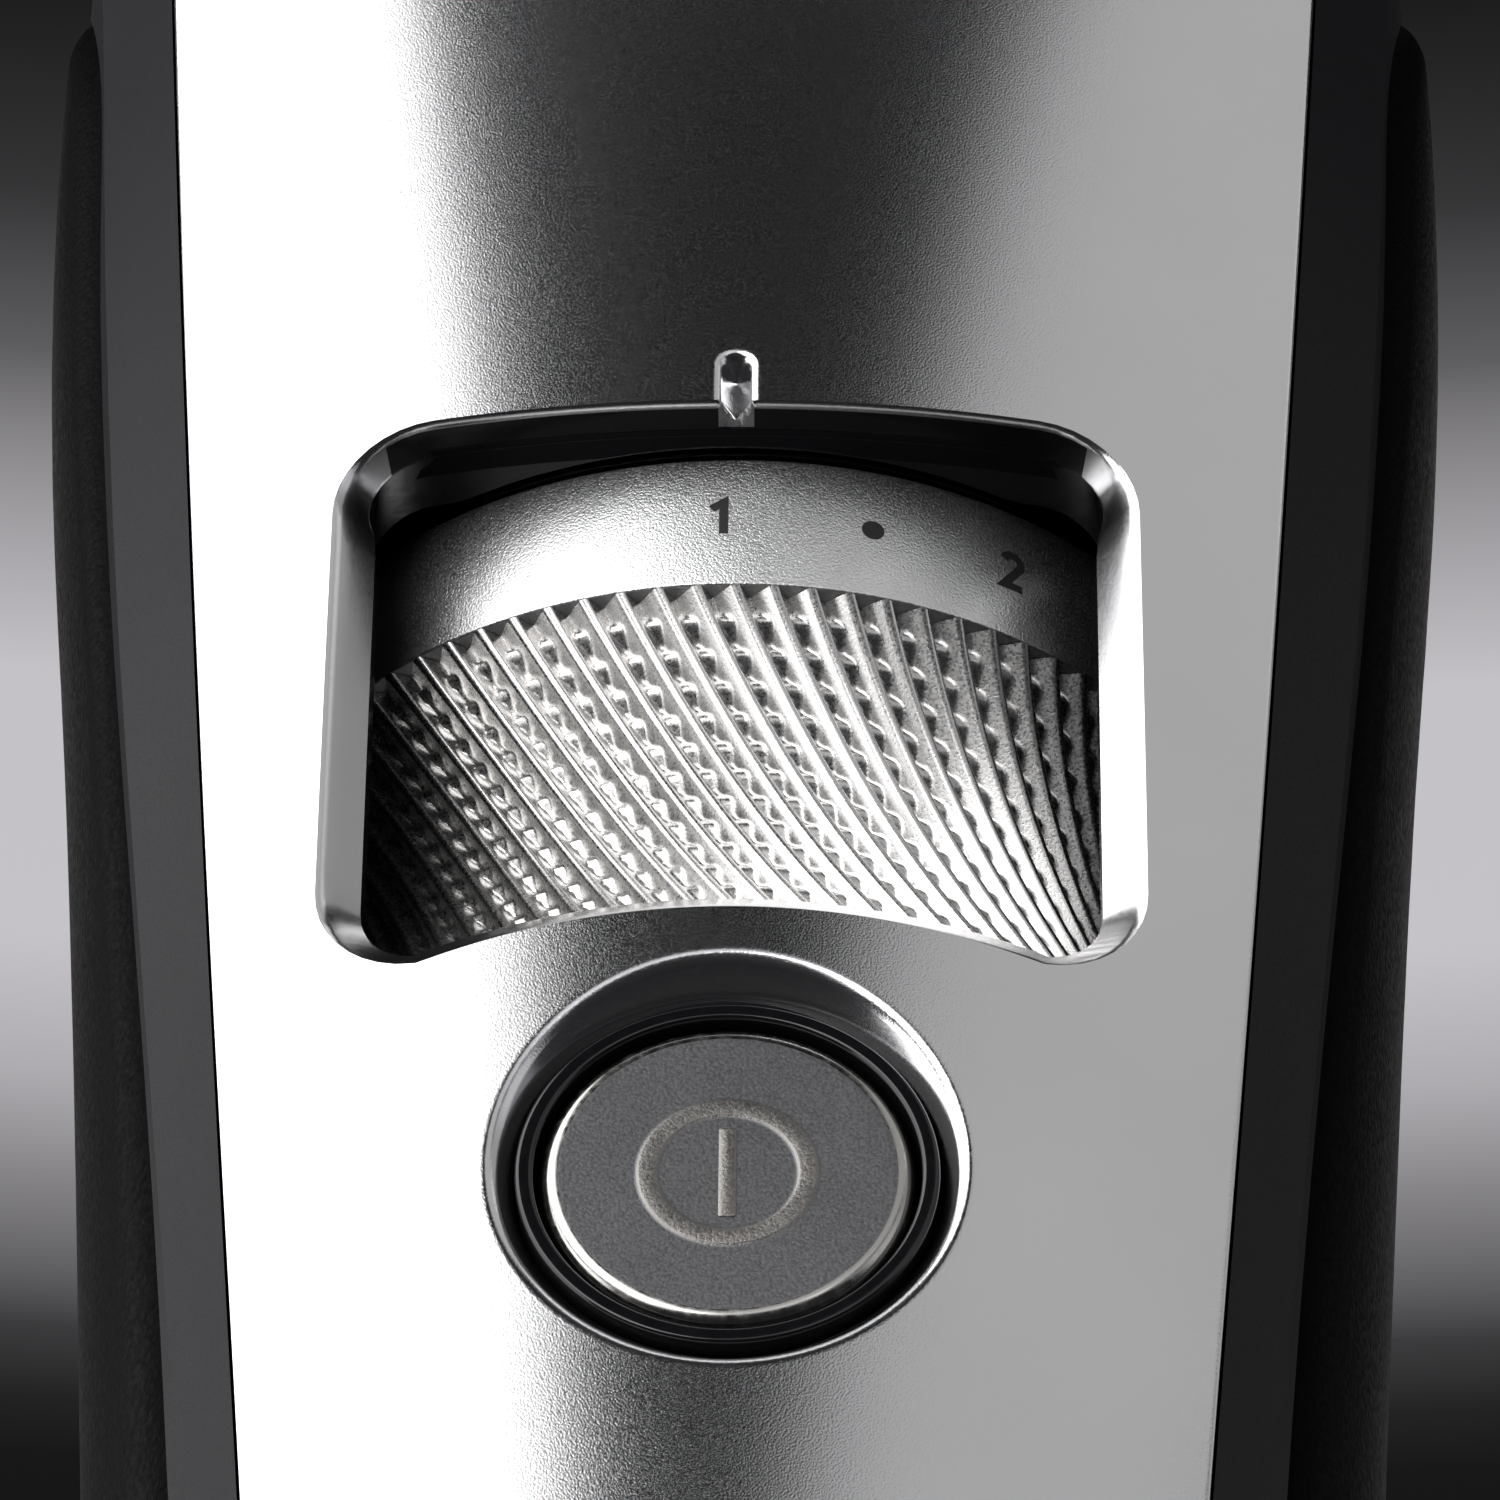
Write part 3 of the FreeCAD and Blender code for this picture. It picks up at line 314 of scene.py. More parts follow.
SLOT_MATERIALS = {
    "dark_satin": DARK_SATIN, "sand_silver": PANEL_SILVER, "bright_silver": KNURL_SILVER,
    "grip_rubber": GRIP_RUBBER, "gloss_black": GLOSS_BLACK, "button_metal": BUTTON_METAL,
    "white_plastic": WHITE_PLASTIC, "black_plastic": BLACK_PLASTIC, "steel": STEEL,
    "dark_iron": DARK_IRON, "copper": COPPER, "cell_sleeve": CELL_SLEEVE,
    "board_green": BOARD_GREEN, "lamp_lens": LAMP_LENS,
}


def dress_cad_nodes():
    """Gives every CAD node the material of its slot."""
    for part in frame["record"]["subparts"]:
        mesh = nodes[part["node"]].data
        mesh.materials.clear()
        mesh.materials.append(SLOT_MATERIALS[part["material_slot"]])


# ---------------------------------------------------------------- front panel
def arc_through(a, peak, b, count):
    """Points on the circle arc from a over peak to b, ends left out; a and b mirror each other."""
    half, rise = (b[0] - a[0]) / 2, peak - a[1]
    radius = (half * half + rise * rise) / (2 * rise)
    centre_x, centre_z = (a[0] + b[0]) / 2, peak - radius
    reach = math.asin(half / radius)
    out = []
    for i in range(1, count):
        angle = -reach + 2 * reach * i / count
        out.append((centre_x + radius * math.sin(angle), centre_z + radius * math.cos(angle)))
    return out


def window_outline(inset):
    """Rounded window outline, clockwise from the top left; its lower edge is arched."""
    half = WINDOW_HALF_WIDTH - inset
    top, sill = WINDOW_TOP - 0.4 * inset, WINDOW_BOTTOM + 0.3 * inset
    low = sill - WINDOW_DIP
    r = WINDOW_CORNER - 0.5 * inset

    def corner(cx, cz, start):
        turns = [math.radians(start - 90 * i / 9) for i in range(10)]
        return [(cx + r * math.cos(turn), cz + r * math.sin(turn)) for turn in turns]

    run = half - r
    # along the top edge as shares of run, closer together at the pointer
    across = [i / 18 for i in range(-17, -1)] + [i / 120 for i in range(-10, 11)]
    across += [i / 18 for i in range(2, 18)]
    points = [(run * t, top) for t in across]
    points += corner(run, top - r, 90)
    points += [(half, top - r + (low - top + 2 * r) * i / 16) for i in range(1, 16)]
    points += corner(run, low + r, 0)
    points += arc_through((-run, low), sill, (run, low), 40)[::-1]
    points += corner(-run, low + r, -90)
    points += [(-half, low + r + (top - low - 2 * r) * i / 16) for i in range(1, 16)]
    points += corner(-run, top - r, -180)
    return points


def outward(points):
    """Unit normals of a clockwise closed outline, pointing out of it."""
    normals = []
    for i in range(len(points)):
        (x0, z0), (x1, z1) = points[i - 1], points[(i + 1) % len(points)]
        normals.append(Vector((-(z1 - z0), x1 - x0)).normalized())
    return normals


WINDOW_LINE = window_outline(0.0)
WINDOW_DRIFT = [Vector(b) - Vector(a) for a, b in zip(WINDOW_LINE, window_outline(1.0))]
WINDOW_OUT = outward(WINDOW_LINE)


def window_ring(offset, depth):
    """Ring of the window's wall at a depth below the face, moved outwards by offset.

    The opening narrows where the face lies further back, so each point settles in a few rounds.
    The bevel is much narrower along the top edge.
    """
    ring = []
    share = min(1.0, depth / WINDOW_BEVEL)
    for line, drift, out in zip(WINDOW_LINE, WINDOW_DRIFT, WINDOW_OUT):
        p = Vector(line)
        for _ in range(3):
            y = face_y(p.x, p.y) + max(depth, pointer_dip(p.x, p.y))
            y = min(y, -math.sqrt(WALL_CLEAR_R ** 2 - p.x * p.x))
            inset = WALL_INSET + (face_y(p.x, p.y) - WALL_INSET_Y) / WALL_INSET_RUN * WALL_INSET_GAIN
            bevel = WINDOW_BEVEL * share * (1 - 0.8 * max(0.0, out.y))
            p = Vector(line) + drift * inset + out * (offset + BEVEL_OUTSIDE - bevel)
        ring.append((p.x, y, p.y))
    return ring


def recess_ring(offset, depth, sink):
    """Ring of the button's sloped recess; sink moves it from the face to the recess floor."""
    ring = []
    count = 120
    for i in range(count):
        angle = -math.tau * i / count
        r = 8.2
        for _ in range(3):      # settles on the cone where the face meets it
            x, z = r * math.cos(angle), BUTTON_Z + r * math.sin(angle)
            y = (face_y(x, z) + depth) * (1 - sink) + (BUTTON_Y + RECESS_FLOOR) * sink
            r = RECESS_R - RECESS_TAPER * (y - BUTTON_Y + 0.5) + offset
        ring.append((r * math.cos(angle), y, BUTTON_Z + r * math.sin(angle)))
    return ring


def lamp_ring(radius, depth):
    """Ring round the hole of the charge lamp."""
    ring = []
    for i in range(32):
        angle = -math.tau * i / 32
        x, z = radius * math.cos(angle), LAMP_Z + radius * math.sin(angle)
        ring.append((x, face_y(x, z) + depth, z))
    return ring


def rim_distance(x, z):
    """How far a point of the panel lies inside its side edges."""
    return smooth(PANEL_HALF_WIDTH, z) - abs(x)


def rim_ring(inset, depth):
    """Ring along the panel's own edge, counter-clockwise."""
    def at(x, z):
        return (x, face_y(x, z) + depth, z)

    def half(z):
        return smooth(PANEL_HALF_WIDTH, z) - inset

    low, high = PANEL_BOTTOM + inset, PANEL_TOP - inset
    ring = [at(half(low) * t / 12, low) for t in range(-12, 13)]
    ring += [at(half(z), z) for z in (low + (high - low) * i / 90 for i in range(1, 90))]
    ring += [at(half(high) * t / 12, high) for t in range(12, -13, -1)]
    ring += [at(-half(z), z) for z in (low + (high - low) * i / 90 for i in range(89, 0, -1))]
    return ring


def inside(x, z, loop):
    """True if (x, z) is inside the closed loop of points."""
    result = False
    for i in range(len(loop)):
        (x0, _, z0), (x1, _, z1) = loop[i - 1], loop[i]
        if (z0 > z) != (z1 > z) and x < x0 + (x1 - x0) * (z - z0) / (z1 - z0):
            result = not result
    return result


def fill_between(outer, holes, extra, spacing, height):
    """Triangulated sheet between an outer loop and holes.

    Gives the added points and the faces, as indexes into the loops' points and then the added ones.
    """
    loops = [outer] + holes
    flat = [(x, z) for loop in loops for x, _, z in loop]
    edges, start = [], 0
    for loop in loops:
        n = len(loop)
        edges += [(start + i, start + (i + 1) % n) for i in range(n)]
        start += n
    given = KDTree(len(flat) + len(extra))
    for i, (x, z) in enumerate(flat + extra):
        given.insert((x, z, 0), i)
    given.balance()

    def in_sheet(x, z):
        return inside(x, z, outer) and not any(inside(x, z, hole) for hole in holes)

    grid = []
    z, row = PANEL_BOTTOM, 0
    while z < PANEL_TOP:
        half = smooth(PANEL_HALF_WIDTH, z)
        x = -half + spacing * 0.5 * (row % 2)
        while x < half:
            if given.find((x, z, 0))[2] > 0.6 * spacing and in_sheet(x, z):
                grid.append((x, z))
            x += spacing
        z += spacing * 0.87
        row += 1
    every = [Vector(p) for p in flat + extra + grid]
    verts, _, triangles, origin, _, _ = delaunay_2d_cdt(every, edges, [], 0, 1e-5)
    index = [source[0] for source in origin]
    faces = []
    for triangle in triangles:
        cx = sum(verts[i][0] for i in triangle) / 3
        cz = sum(verts[i][1] for i in triangle) / 3
        if in_sheet(cx, cz):
            faces.append([index[i] for i in triangle])
    added = [(x, height(x, z), z) for x, z in extra + grid]
    return added, faces


def roll(radius, steps=6):
    """(offset, depth) pairs round the quarter circle from the face into a wall."""
    return [(radius * (1 - math.sin(a)), radius * (1 - math.cos(a)))
            for a in (math.pi / 2 * i / steps for i in range(steps + 1))]


def panel_walls():
    """The panel's rim and the walls of its openings, each as rings from the face to the back."""
    edge = 0.30
    window = [window_ring(offset, 0.0) for offset in (edge + EDGE_LAND, edge, 0.0)]
    window += [window_ring(0.10, 0.05), window_ring(0.02, 0.14)]
    for depth in (0.4, 0.8, 1.2, 1.5, WINDOW_BEVEL, 1.68, 1.8, 2.4, 3.2, WINDOW_SKIRT):
        window.append(window_ring(0.0, depth))
    window += [window_ring(SKIRT_WALL * 0.9, WINDOW_SKIRT), window_ring(SKIRT_WALL, 2.6),
               window_ring(SKIRT_WALL, PANEL_THICK)]

    edge = 0.32
    recess = [recess_ring(edge + EDGE_LAND, 0.0, 0.0)]
    recess += [recess_ring(offset, depth, 0.0) for offset, depth in roll(edge)]
    recess += [recess_ring(0.0, edge, sink) for sink in (0.3, 0.65, 1.0)]
    recess += [[(x, y + 0.03, z) for x, y, z in recess[-1]]]

    lamp = [lamp_ring(LAMP_R + 0.2, 0.0)]
    lamp += [lamp_ring(LAMP_R + offset, depth) for offset, depth in roll(0.14, 4)]
    lamp += [lamp_ring(LAMP_R, PANEL_THICK)]

    rim = [rim_ring(0.20, 0.0)]
    rim += [rim_ring(offset, depth) for offset, depth in roll(0.09, 4)]
    rim += [rim_ring(0.0, PANEL_THICK)]
    return rim, window, recess, lamp


def panel_finish(x, y, z):
    """Material index at a point: 0 the sanded face, 1 the smooth walls, 2 black gloss painted as
    shade on the window's deep skirt and on the wall under its top edge.
    """
    depth = y - face_y(x, z)
    near_opening = LAMP_Z + 10 < z < WINDOW_TOP + 0.6 and abs(x) < 16 and rim_distance(x, z) > 2.5
    in_pointer = (abs(x) < POINTER_HALF + 0.1 and z > WINDOW_TOP + 0.1
                  and depth < POINTER_DEPTH + 0.1)
    if in_pointer or not near_opening or depth <= 0.2:
        return 0
    # Painted shade: black gloss on the window's deep skirt and under its top edge stands in for the
    # shade and dark reflection that fall there.
    in_window = z > (WINDOW_BOTTOM + BUTTON_Z) / 2 + 2.6
    painted_shade_under_top = z > WINDOW_TOP - 0.3 and depth > 0.5
    if in_window and (depth > WINDOW_BEVEL + 0.04 or painted_shade_under_top):
        return 2
    return 1


def make_panel():
    """Front panel with its window, pointer notch, button recess and lamp hole, as one closed mesh."""
    walls = panel_walls()
    points, faces = [], []
    starts = []
    for rings in walls:
        starts.append([])
        for ring in rings:
            starts[-1].append(len(points))
            points += ring
        for lower, upper in zip(starts[-1], starts[-1][1:]):
            faces += band_faces(lower, upper, len(rings[0]))

    def add_sheet(level, extra, spacing, height):
        loops = [rings[level] for rings in walls]
        names = []
        for loop, start in zip(loops, starts):
            names += range(start[level], start[level] + len(loop))
        added, triangles = fill_between(loops[0], loops[1:], extra, spacing, height)
        names += range(len(points), len(points) + len(added))
        points.extend(added)
        faces.extend([names[i] for i in triangle] for triangle in triangles)

    at_pointer = [(i * 0.09, WINDOW_TOP + 0.72 + j * 0.09) for i in range(-11, 12) for j in range(31)]
    add_sheet(0, at_pointer, 0.85, lambda x, z: face_y(x, z) + pointer_dip(x, z))
    add_sheet(-1, [], 3.0, lambda x, z: face_y(x, z) + PANEL_THICK)
    # The third slot, black gloss, is painted shade inside the window.
    piece = new_piece("silver_panel", points, faces, [PANEL_SILVER, WALL_SILVER, GLOSS_BLACK],
                      "handle", ["front_panel"], sharp=50)
    for polygon in piece.data.polygons:
        polygon.material_index = panel_finish(*(polygon.center / MM))


# ---------------------------------------------------------------- grips
def round_over(distance):
    """How far the grip's skin lies under its full height at a distance inside its outline."""
    if distance >= GRIP_ROUND:
        return 0.0
    return GRIP_FALL * (1 - math.sqrt(1 - (1 - distance / GRIP_ROUND) ** 2))


def make_grips():
    """Soft side pads on the frame's own outline, with broad rounded edges instead of sharp ones."""
    tree = BVHTree.FromObject(nodes["left_grip"], bpy.context.evaluated_depsgraph_get())
    low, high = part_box("left_grip")

    def reach(y, z):
        """Half width of the trimmer over the grip, or None beside the grip."""
        hit = tree.ray_cast(Vector((-0.06, y * MM, z * MM)), Vector((1, 0, 0)))[0]
        return -hit.x / MM if hit else None

    def half_width(y, z, front, back):
        """Half width at a point, taken a little further inside where the point is on the edge."""
        for share in (0.0, 0.01, 0.03, 0.1, 0.3):
            wide = reach(y + ((front + back) / 2 - y) * share, z)
            if wide is not None:
                return wide
        return reach((front + back) / 2, z)

    def outline_edge(z, on_grip, beside):
        """The grip's edge at a height, found by halving between a y on it and one beside it."""
        for _ in range(14):
            middle = (on_grip + beside) / 2
            if reach(middle, z) is None:
                beside = middle
            else:
                on_grip = middle
        return on_grip

    rows, columns = 160, 40
    spans = []      # (z, front edge, back edge), closer together at the ends
    for i in range(rows + 1):
        share = (1 - math.cos(math.pi * i / rows)) / 2
        z = low.z / MM + 0.03 + ((high.z - low.z) / MM - 0.06) * share
        middle = 0.3 - 2.6 * share
        spans.append((z, outline_edge(z, middle, -20.0), outline_edge(z, middle, 20.0)))
    outline = [(front, z) for z, front, back in spans] + [(back, z) for z, front, back in spans]
    for (z0, front0, back0), (z1, front1, back1) in zip(spans, spans[1:]):
        for k in range(1, 5):
            z = z0 + (z1 - z0) * k / 5
            outline.append((front0 + (front1 - front0) * k / 5, z))
            outline.append((back0 + (back1 - back0) * k / 5, z))
    border = KDTree(len(outline))
    for k, (y, z) in enumerate(outline):
        border.insert((0, y, z), k)
    border.balance()

    skin, lining = [], []
    for z, front, back in spans:
        for j in range(columns + 1):
            y = front + (back - front) * (1 - math.cos(math.pi * j / columns)) / 2
            wide = half_width(y, z, front, back)
            distance = border.find((0, y, z))[2]
            skin.append((wide - round_over(distance), y, z))
            lining.append((wide - GRIP_THICK, y, z))
    n = columns + 1
    loops = []
    for i in range(rows + 1):
        outer = [i * n + j for j in range(n)]
        loops.append(outer + [len(skin) + k for k in reversed(outer)])
    faces = [loops[0][::-1], loops[-1]]
    for lower, upper in zip(loops, loops[1:]):
        for k in range(2 * n):
            m = (k + 1) % (2 * n)
            faces.append((lower[k], lower[m], upper[m], upper[k]))
    for side, name in ((-1, "left"), (1, "right")):
        points = [(side * x, y, z) for x, y, z in skin + lining]
        new_piece(name + "_soft_grip", points, faces, [GRIP_RUBBER], "handle",
                  [name + "_grip"], sharp=60)


# ---------------------------------------------------------------- dial
def dial_crest(t):
    """Outer radius of the grip ring, t from 0 at its top to 1 at its bottom."""
    ends = DIAL_R + (DIAL_BOTTOM_R - DIAL_R) * t
    return ends - (ends - DIAL_WAIST_R) * 4 * t * (1 - t)


def ridge_twist(t):
    """Angle in degrees that the ridges have run round at t, slower near the top."""
    share = 1.36 * t + 2.25 * t * t / 2 - 1.94 * t ** 3 / 3
    return 15.2 * share


def ridge_fall(x):
    """Drop below the crest at x across a ridge: round crest, gentle left flank, steep right one."""
    if abs(x) < CREST_HALF:
        return CREST_ROUND - math.sqrt(CREST_ROUND ** 2 - x * x)
    slope = LEFT_FLANK if x < 0 else RIGHT_FLANK
    return (CREST_ROUND - math.sqrt(CREST_ROUND ** 2 - CREST_HALF ** 2)
            + (abs(x) - CREST_HALF) * math.tan(math.radians(slope)))


def valley_floor(down):
    """Drop of the stepped valley floor at a distance down from the ring's top edge."""
    open_top = 2.2 * max(0.0, 1 - down / 0.72)
    phase = ((down - 0.5) / BUMP_PITCH) % 1.0
    step = phase / 0.38 if phase < 0.38 else (1 - phase) / 0.62
    return VALLEY_DROP - BUMP_RISE * step * (1 if down > 0.5 else 0) + open_top


def make_knurl():
    """Grip ring with slanting rounded ridges and a stepped floor in each valley."""
    top = DIAL_SPLIT - 0.02
    height = top - DIAL_BOTTOM
    # places across one ridge as shares of its pitch, closer together on the crest
    across = (-0.60, -0.53, -0.46, -0.40, -0.34, -0.28, -0.22, -0.17, -0.125, -0.085, -0.04, 0.0,
              0.04, 0.085, 0.125, 0.17, 0.22, 0.27, 0.33)
    rows_per_bump, bore_steps = 8, 8
    rows = int(height / BUMP_PITCH * rows_per_bump) + 1
    downs = [BUMP_PITCH * i / rows_per_bump for i in range(rows)] + [height]

    def at(radius, ridge, down):
        angle = math.radians(360 * ridge / RIDGES + ridge_twist(down / height))
        return about_z(radius, angle, top - down)

    points = []
    for tooth in range(RIDGES):
        for u in across:
            flank = ridge_fall(u * RIDGE_PITCH)
            for down in downs:
                drop = min(flank, valley_floor(down))
                points.append(at(dial_crest(down / height) - drop, tooth + u, down))
            for k in range(bore_steps + 1):
                points.append(at(DIAL_BORE_R, tooth + u, height * (1 - k / bore_steps)))
    faces = torus_faces(RIDGES * len(across), len(downs) + bore_steps + 1)
    new_piece("knurled_ring", points, faces, [KNURL_SILVER], "dial",
              ["dial_grip_ring"], sharp=40)


def make_scale_ring():
    """Smooth ring above the knurl that carries the marks."""
    corners = [(DIAL_BORE_R, DIAL_SPLIT), (DIAL_R, DIAL_SPLIT), (DIAL_TOP_R, DIAL_TOP),
               (DIAL_BORE_R, DIAL_TOP)]
    profile = round_corners(corners, (0, 0.10, 0.14, 0))
    points, faces = lathe(profile, 240, about_z)
    new_piece("scale_ring", points, faces, [SCALE_SILVER], "dial",
              ["dial_scale_ring"], sharp=30)


def scale_radius(z):
    return DIAL_R + (DIAL_TOP_R - DIAL_R) * (z - DIAL_SPLIT) / (DIAL_TOP - DIAL_SPLIT)


def ellipse_arc(cx, cz, rx, rz, start, stop, count=10):
    """Points on an ellipse arc, angles in degrees."""
    return [(cx + rx * math.cos(math.radians(start + (stop - start) * i / count)),
             cz + rz * math.sin(math.radians(start + (stop - start) * i / count)))
            for i in range(count + 1)]


# centre lines of the numerals' strokes, in a box 1 wide and 2 high
DIGIT_STROKES = {
    "0": [ellipse_arc(0, 0, 0.46, 0.86, 90, 449, 22)],
    "1": [[(-0.40, 0.52), (0.12, 0.86), (0.12, -0.86)]],
    "2": [ellipse_arc(0, 0.42, 0.42, 0.44, 160, -25, 10) + [(-0.42, -0.86), (0.48, -0.86)]],
    "3": [ellipse_arc(-0.02, 0.44, 0.40, 0.42, 150, -78, 10)
          + ellipse_arc(-0.02, -0.42, 0.45, 0.44, 78, -150, 10)],
    "4": [[(0.22, -0.86), (0.22, 0.86), (-0.48, -0.40), (0.50, -0.40)]],
    "5": [[(0.40, 0.86), (-0.30, 0.86), (-0.36, 0.10)]
          + ellipse_arc(-0.02, -0.28, 0.44, 0.52, 110, -150, 10)],
    "6": [[(0.30, 0.80), (0.02, 0.66), (-0.26, 0.30)]
          + ellipse_arc(0, -0.34, 0.44, 0.52, 160, -199, 20)],
    "7": [[(-0.46, 0.86), (0.44, 0.86), (-0.12, -0.86)]],
    "8": [ellipse_arc(0, 0.44, 0.38, 0.42, -90, 269, 18),
          ellipse_arc(0, -0.42, 0.44, 0.44, 90, -269, 18)],
    "9": [[(-0.30, -0.80), (-0.02, -0.66), (0.26, -0.30)]
          + ellipse_arc(0, 0.34, 0.44, 0.52, -20, -379, 20)],
}


def ribbon(line, half):
    """Strip along a line, as (x, z) points, quads and its border edges."""
    left, right = [], []
    for i, p in enumerate(line):
        here = Vector(p)
        before = (here - Vector(line[i - 1])).normalized() if i else None
        after = (Vector(line[i + 1]) - here).normalized() if i < len(line) - 1 else None
        before, after = before or after, after or before
        middle = (before + after).normalized()
        side = Vector((-middle.y, middle.x))
        reach = half / max(0.45, side.dot(Vector((-before.y, before.x))))
        left.append(here + side * reach)
        right.append(here - side * reach)
    n = len(line)
    quads = [(i, n + i, n + i + 1, i + 1) for i in range(n - 1)]
    border = [(i + 1, i) for i in range(n - 1)] + [(n + i, n + i + 1) for i in range(n - 1)]
    border += [(0, n), (2 * n - 1, n - 1)]
    return [tuple(p) for p in left + right], quads, border


def numeral(text):
    """Strips of a numeral, centred on (0, 0)."""
    strips = []
    for place, digit in enumerate(text):
        shift = (place - (len(text) - 1) / 2) * DIGIT_PITCH
        for stroke in DIGIT_STROKES[digit]:
            line = [((x + shift) * DIGIT_HALF_HEIGHT, z * DIGIT_HALF_HEIGHT) for x, z in stroke]
            strips.append(ribbon(line, STROKE))
    return strips


def disc(radius, count=20):
    """Disc as (x, z) points, triangles and its border edges."""
    points = [(0.0, 0.0)]
    points += [(radius * math.cos(math.tau * i / count), radius * math.sin(math.tau * i / count))
               for i in range(count)]
    border = [(i + 1, (i + 1) % count + 1) for i in range(count)]
    return points, [(0, a, b) for a, b in border], border


def make_numerals():
    """Numerals and half-step dots printed round the scale ring, as thin closed pads."""
    centre = DIAL_SPLIT + MARK_HEIGHT
    step = math.tau / DIAL_STEPS
    points, faces = [], []

    def wrap(shape, angle):
        """Bends a flat shape round the ring, as a pad sunk a little into it."""
        flat, triangles, border = shape
        start, n = len(points), len(flat)
        for lift in (PRINT_RAISE, -0.05):
            for x, z in flat:
                r = scale_radius(centre + z) + lift
                points.append(about_z(r, angle + x / DIAL_R, centre + z))
        for face in triangles:
            faces.append([start + i for i in face])
            faces.append([start + n + i for i in reversed(face)])
        for a, b in border:
            faces.append((start + a, start + b, start + n + b, start + n + a))

    dot = disc(DOT_R)
    for value in range(1, LAST_NUMERAL + 1):
        for strip in numeral(str(value)):
            wrap(strip, 2 * (value - 1) * step - MARK_OFFSET)
        if value < LAST_NUMERAL:
            wrap(dot, (2 * value - 1) * step - MARK_OFFSET)
    new_piece("dial_numerals", points, faces, [NUMERAL_BLACK], "dial", sharp=30)


def make_seal():
    """Black seal over the dial, with a lip that runs out to the dial's room."""
    reach = DIAL_ROOM_R - 0.05
    corners = [(SEAL_INNER_R, SEAL_BOTTOM), (SEAL_LIP_R, SEAL_BOTTOM), (SEAL_LIP_R, SEAL_LIP),
               (reach, SEAL_LIP), (reach, SEAL_TOP), (SEAL_INNER_R, SEAL_TOP)]
    profile = round_corners(corners, (0, 0.14, 0, 0.1, 0, 0))
    points, faces = lathe(profile, 200, about_z)
    new_piece("dial_seal_ring", points, faces, [GLOSS_BLACK], "handle",
              ["dial_seal"], sharp=30)


# ---------------------------------------------------------------- power button
def make_button_cap():
    """Disc with a rounded edge and a raised ring, pressed in with the power button."""
    edge, face = BUTTON_ROUND, BUTTON_SINK
    shoulder, crown = face - SYMBOL_RAISE * 0.8, face - SYMBOL_RAISE
    low, core = 2.3, 0.001
    profile = [(core, low), (BUTTON_R, low), (BUTTON_R, face + edge + 0.2)]
    for i in range(9):
        a = math.pi / 2 * i / 8
        profile.append((BUTTON_R - edge + edge * math.cos(a), face + edge - edge * math.sin(a)))
    profile += [(5.5, face), (4.2, face), (3.16, face)]
    profile += [(SYMBOL_OUTER_R, face), (3.0, shoulder), (2.95, crown)]
    profile += [(2.46, crown), (2.41, shoulder), (SYMBOL_INNER_R, face)]
    profile += [(2.25, face), (1.2, face), (core, face)]
    points, faces = lathe(profile, 128, about_button)
    cap = new_piece("button_cap_disc", points, faces, [BUTTON_METAL, BUTTON_EDGE, SYMBOL_METAL],
                    "power_button", ["button_cap"], sharp=50)
    for polygon in cap.data.polygons:
        c = polygon.center / MM
        r = math.hypot(c.x, c.z - BUTTON_Z)
        if r > BUTTON_R - edge:
            polygon.material_index = 1
        elif SYMBOL_INNER_R < r < SYMBOL_OUTER_R:
            polygon.material_index = 2


def make_button_bar():
    """Raised bar in the middle of the button's ring."""
    half_x, half_z = SYMBOL_BAR_HALF_X, SYMBOL_BAR_HALF_Z
    corners = round_corners([(-half_x, -half_z), (half_x, -half_z), (half_x, half_z),
                             (-half_x, half_z)], (0.08,) * 4, 3)
    points = []
    for lift, shrink in ((-0.05, 0.0), (SYMBOL_RAISE * 0.4, 0.0), (SYMBOL_RAISE, 0.05)):
        for x, z in corners:
            points.append((x - math.copysign(shrink, x), BUTTON_Y + BUTTON_SINK - lift,
                           BUTTON_Z + z - math.copysign(shrink, z)))
    n = len(corners)
    faces = band_faces(0, n, n) + band_faces(n, 2 * n, n)
    faces.append(list(range(n))[::-1])
    faces.append(list(range(2 * n, 3 * n)))
    new_piece("button_symbol_bar", points, faces, [SYMBOL_METAL], "power_button")


def make_button_ring():
    """Black gloss ring round the button, on the floor of the recess."""
    corners = [(6.5, 0.70), (7.12, 0.70), (7.12, 2.55), (8.4, 2.55), (8.4, 2.95), (6.5, 2.95)]
    profile = round_corners(corners, (0.16, 0.16, 0, 0, 0, 0))
    points, faces = lathe(profile, 160, about_button)
    new_piece("button_gloss_ring", points, faces, [GLOSS_BLACK], "handle",
              ["button_bezel"], sharp=30)


# ---------------------------------------------------------------- studio
def area_light(name, side, elevation, width, height, radiance, turn=0.0):
    """White soft box, facing the dial from 0.6 m away and turned on its own axis (degrees, metres).

    elevation is its angle up from the front in the middle plane, side its angle right of that plane.
    """
    target = Vector((0, -0.02, 0.09))
    s, e = math.radians(side), math.radians(elevation)
    away = Vector((math.sin(s), -math.cos(s) * math.cos(e), math.cos(s) * math.sin(e)))
    up = Vector((0, math.sin(e), math.cos(e)))
    data = bpy.data.lights.new(name, "AREA")
    data.shape = "RECTANGLE"
    data.size, data.size_y = width, height
    data.energy = radiance * math.pi * width * height
    lamp = bpy.data.objects.new(name, data)
    lamp.location = target + away * 0.6
    lamp.rotation_mode = "QUATERNION"
    facing = Matrix((up.cross(away), up, away)).transposed().to_quaternion()
    lamp.rotation_quaternion = facing @ Quaternion((0, 0, 1), math.radians(turn))
    lamp.visible_camera = False
    bpy.context.scene.collection.objects.link(lamp)


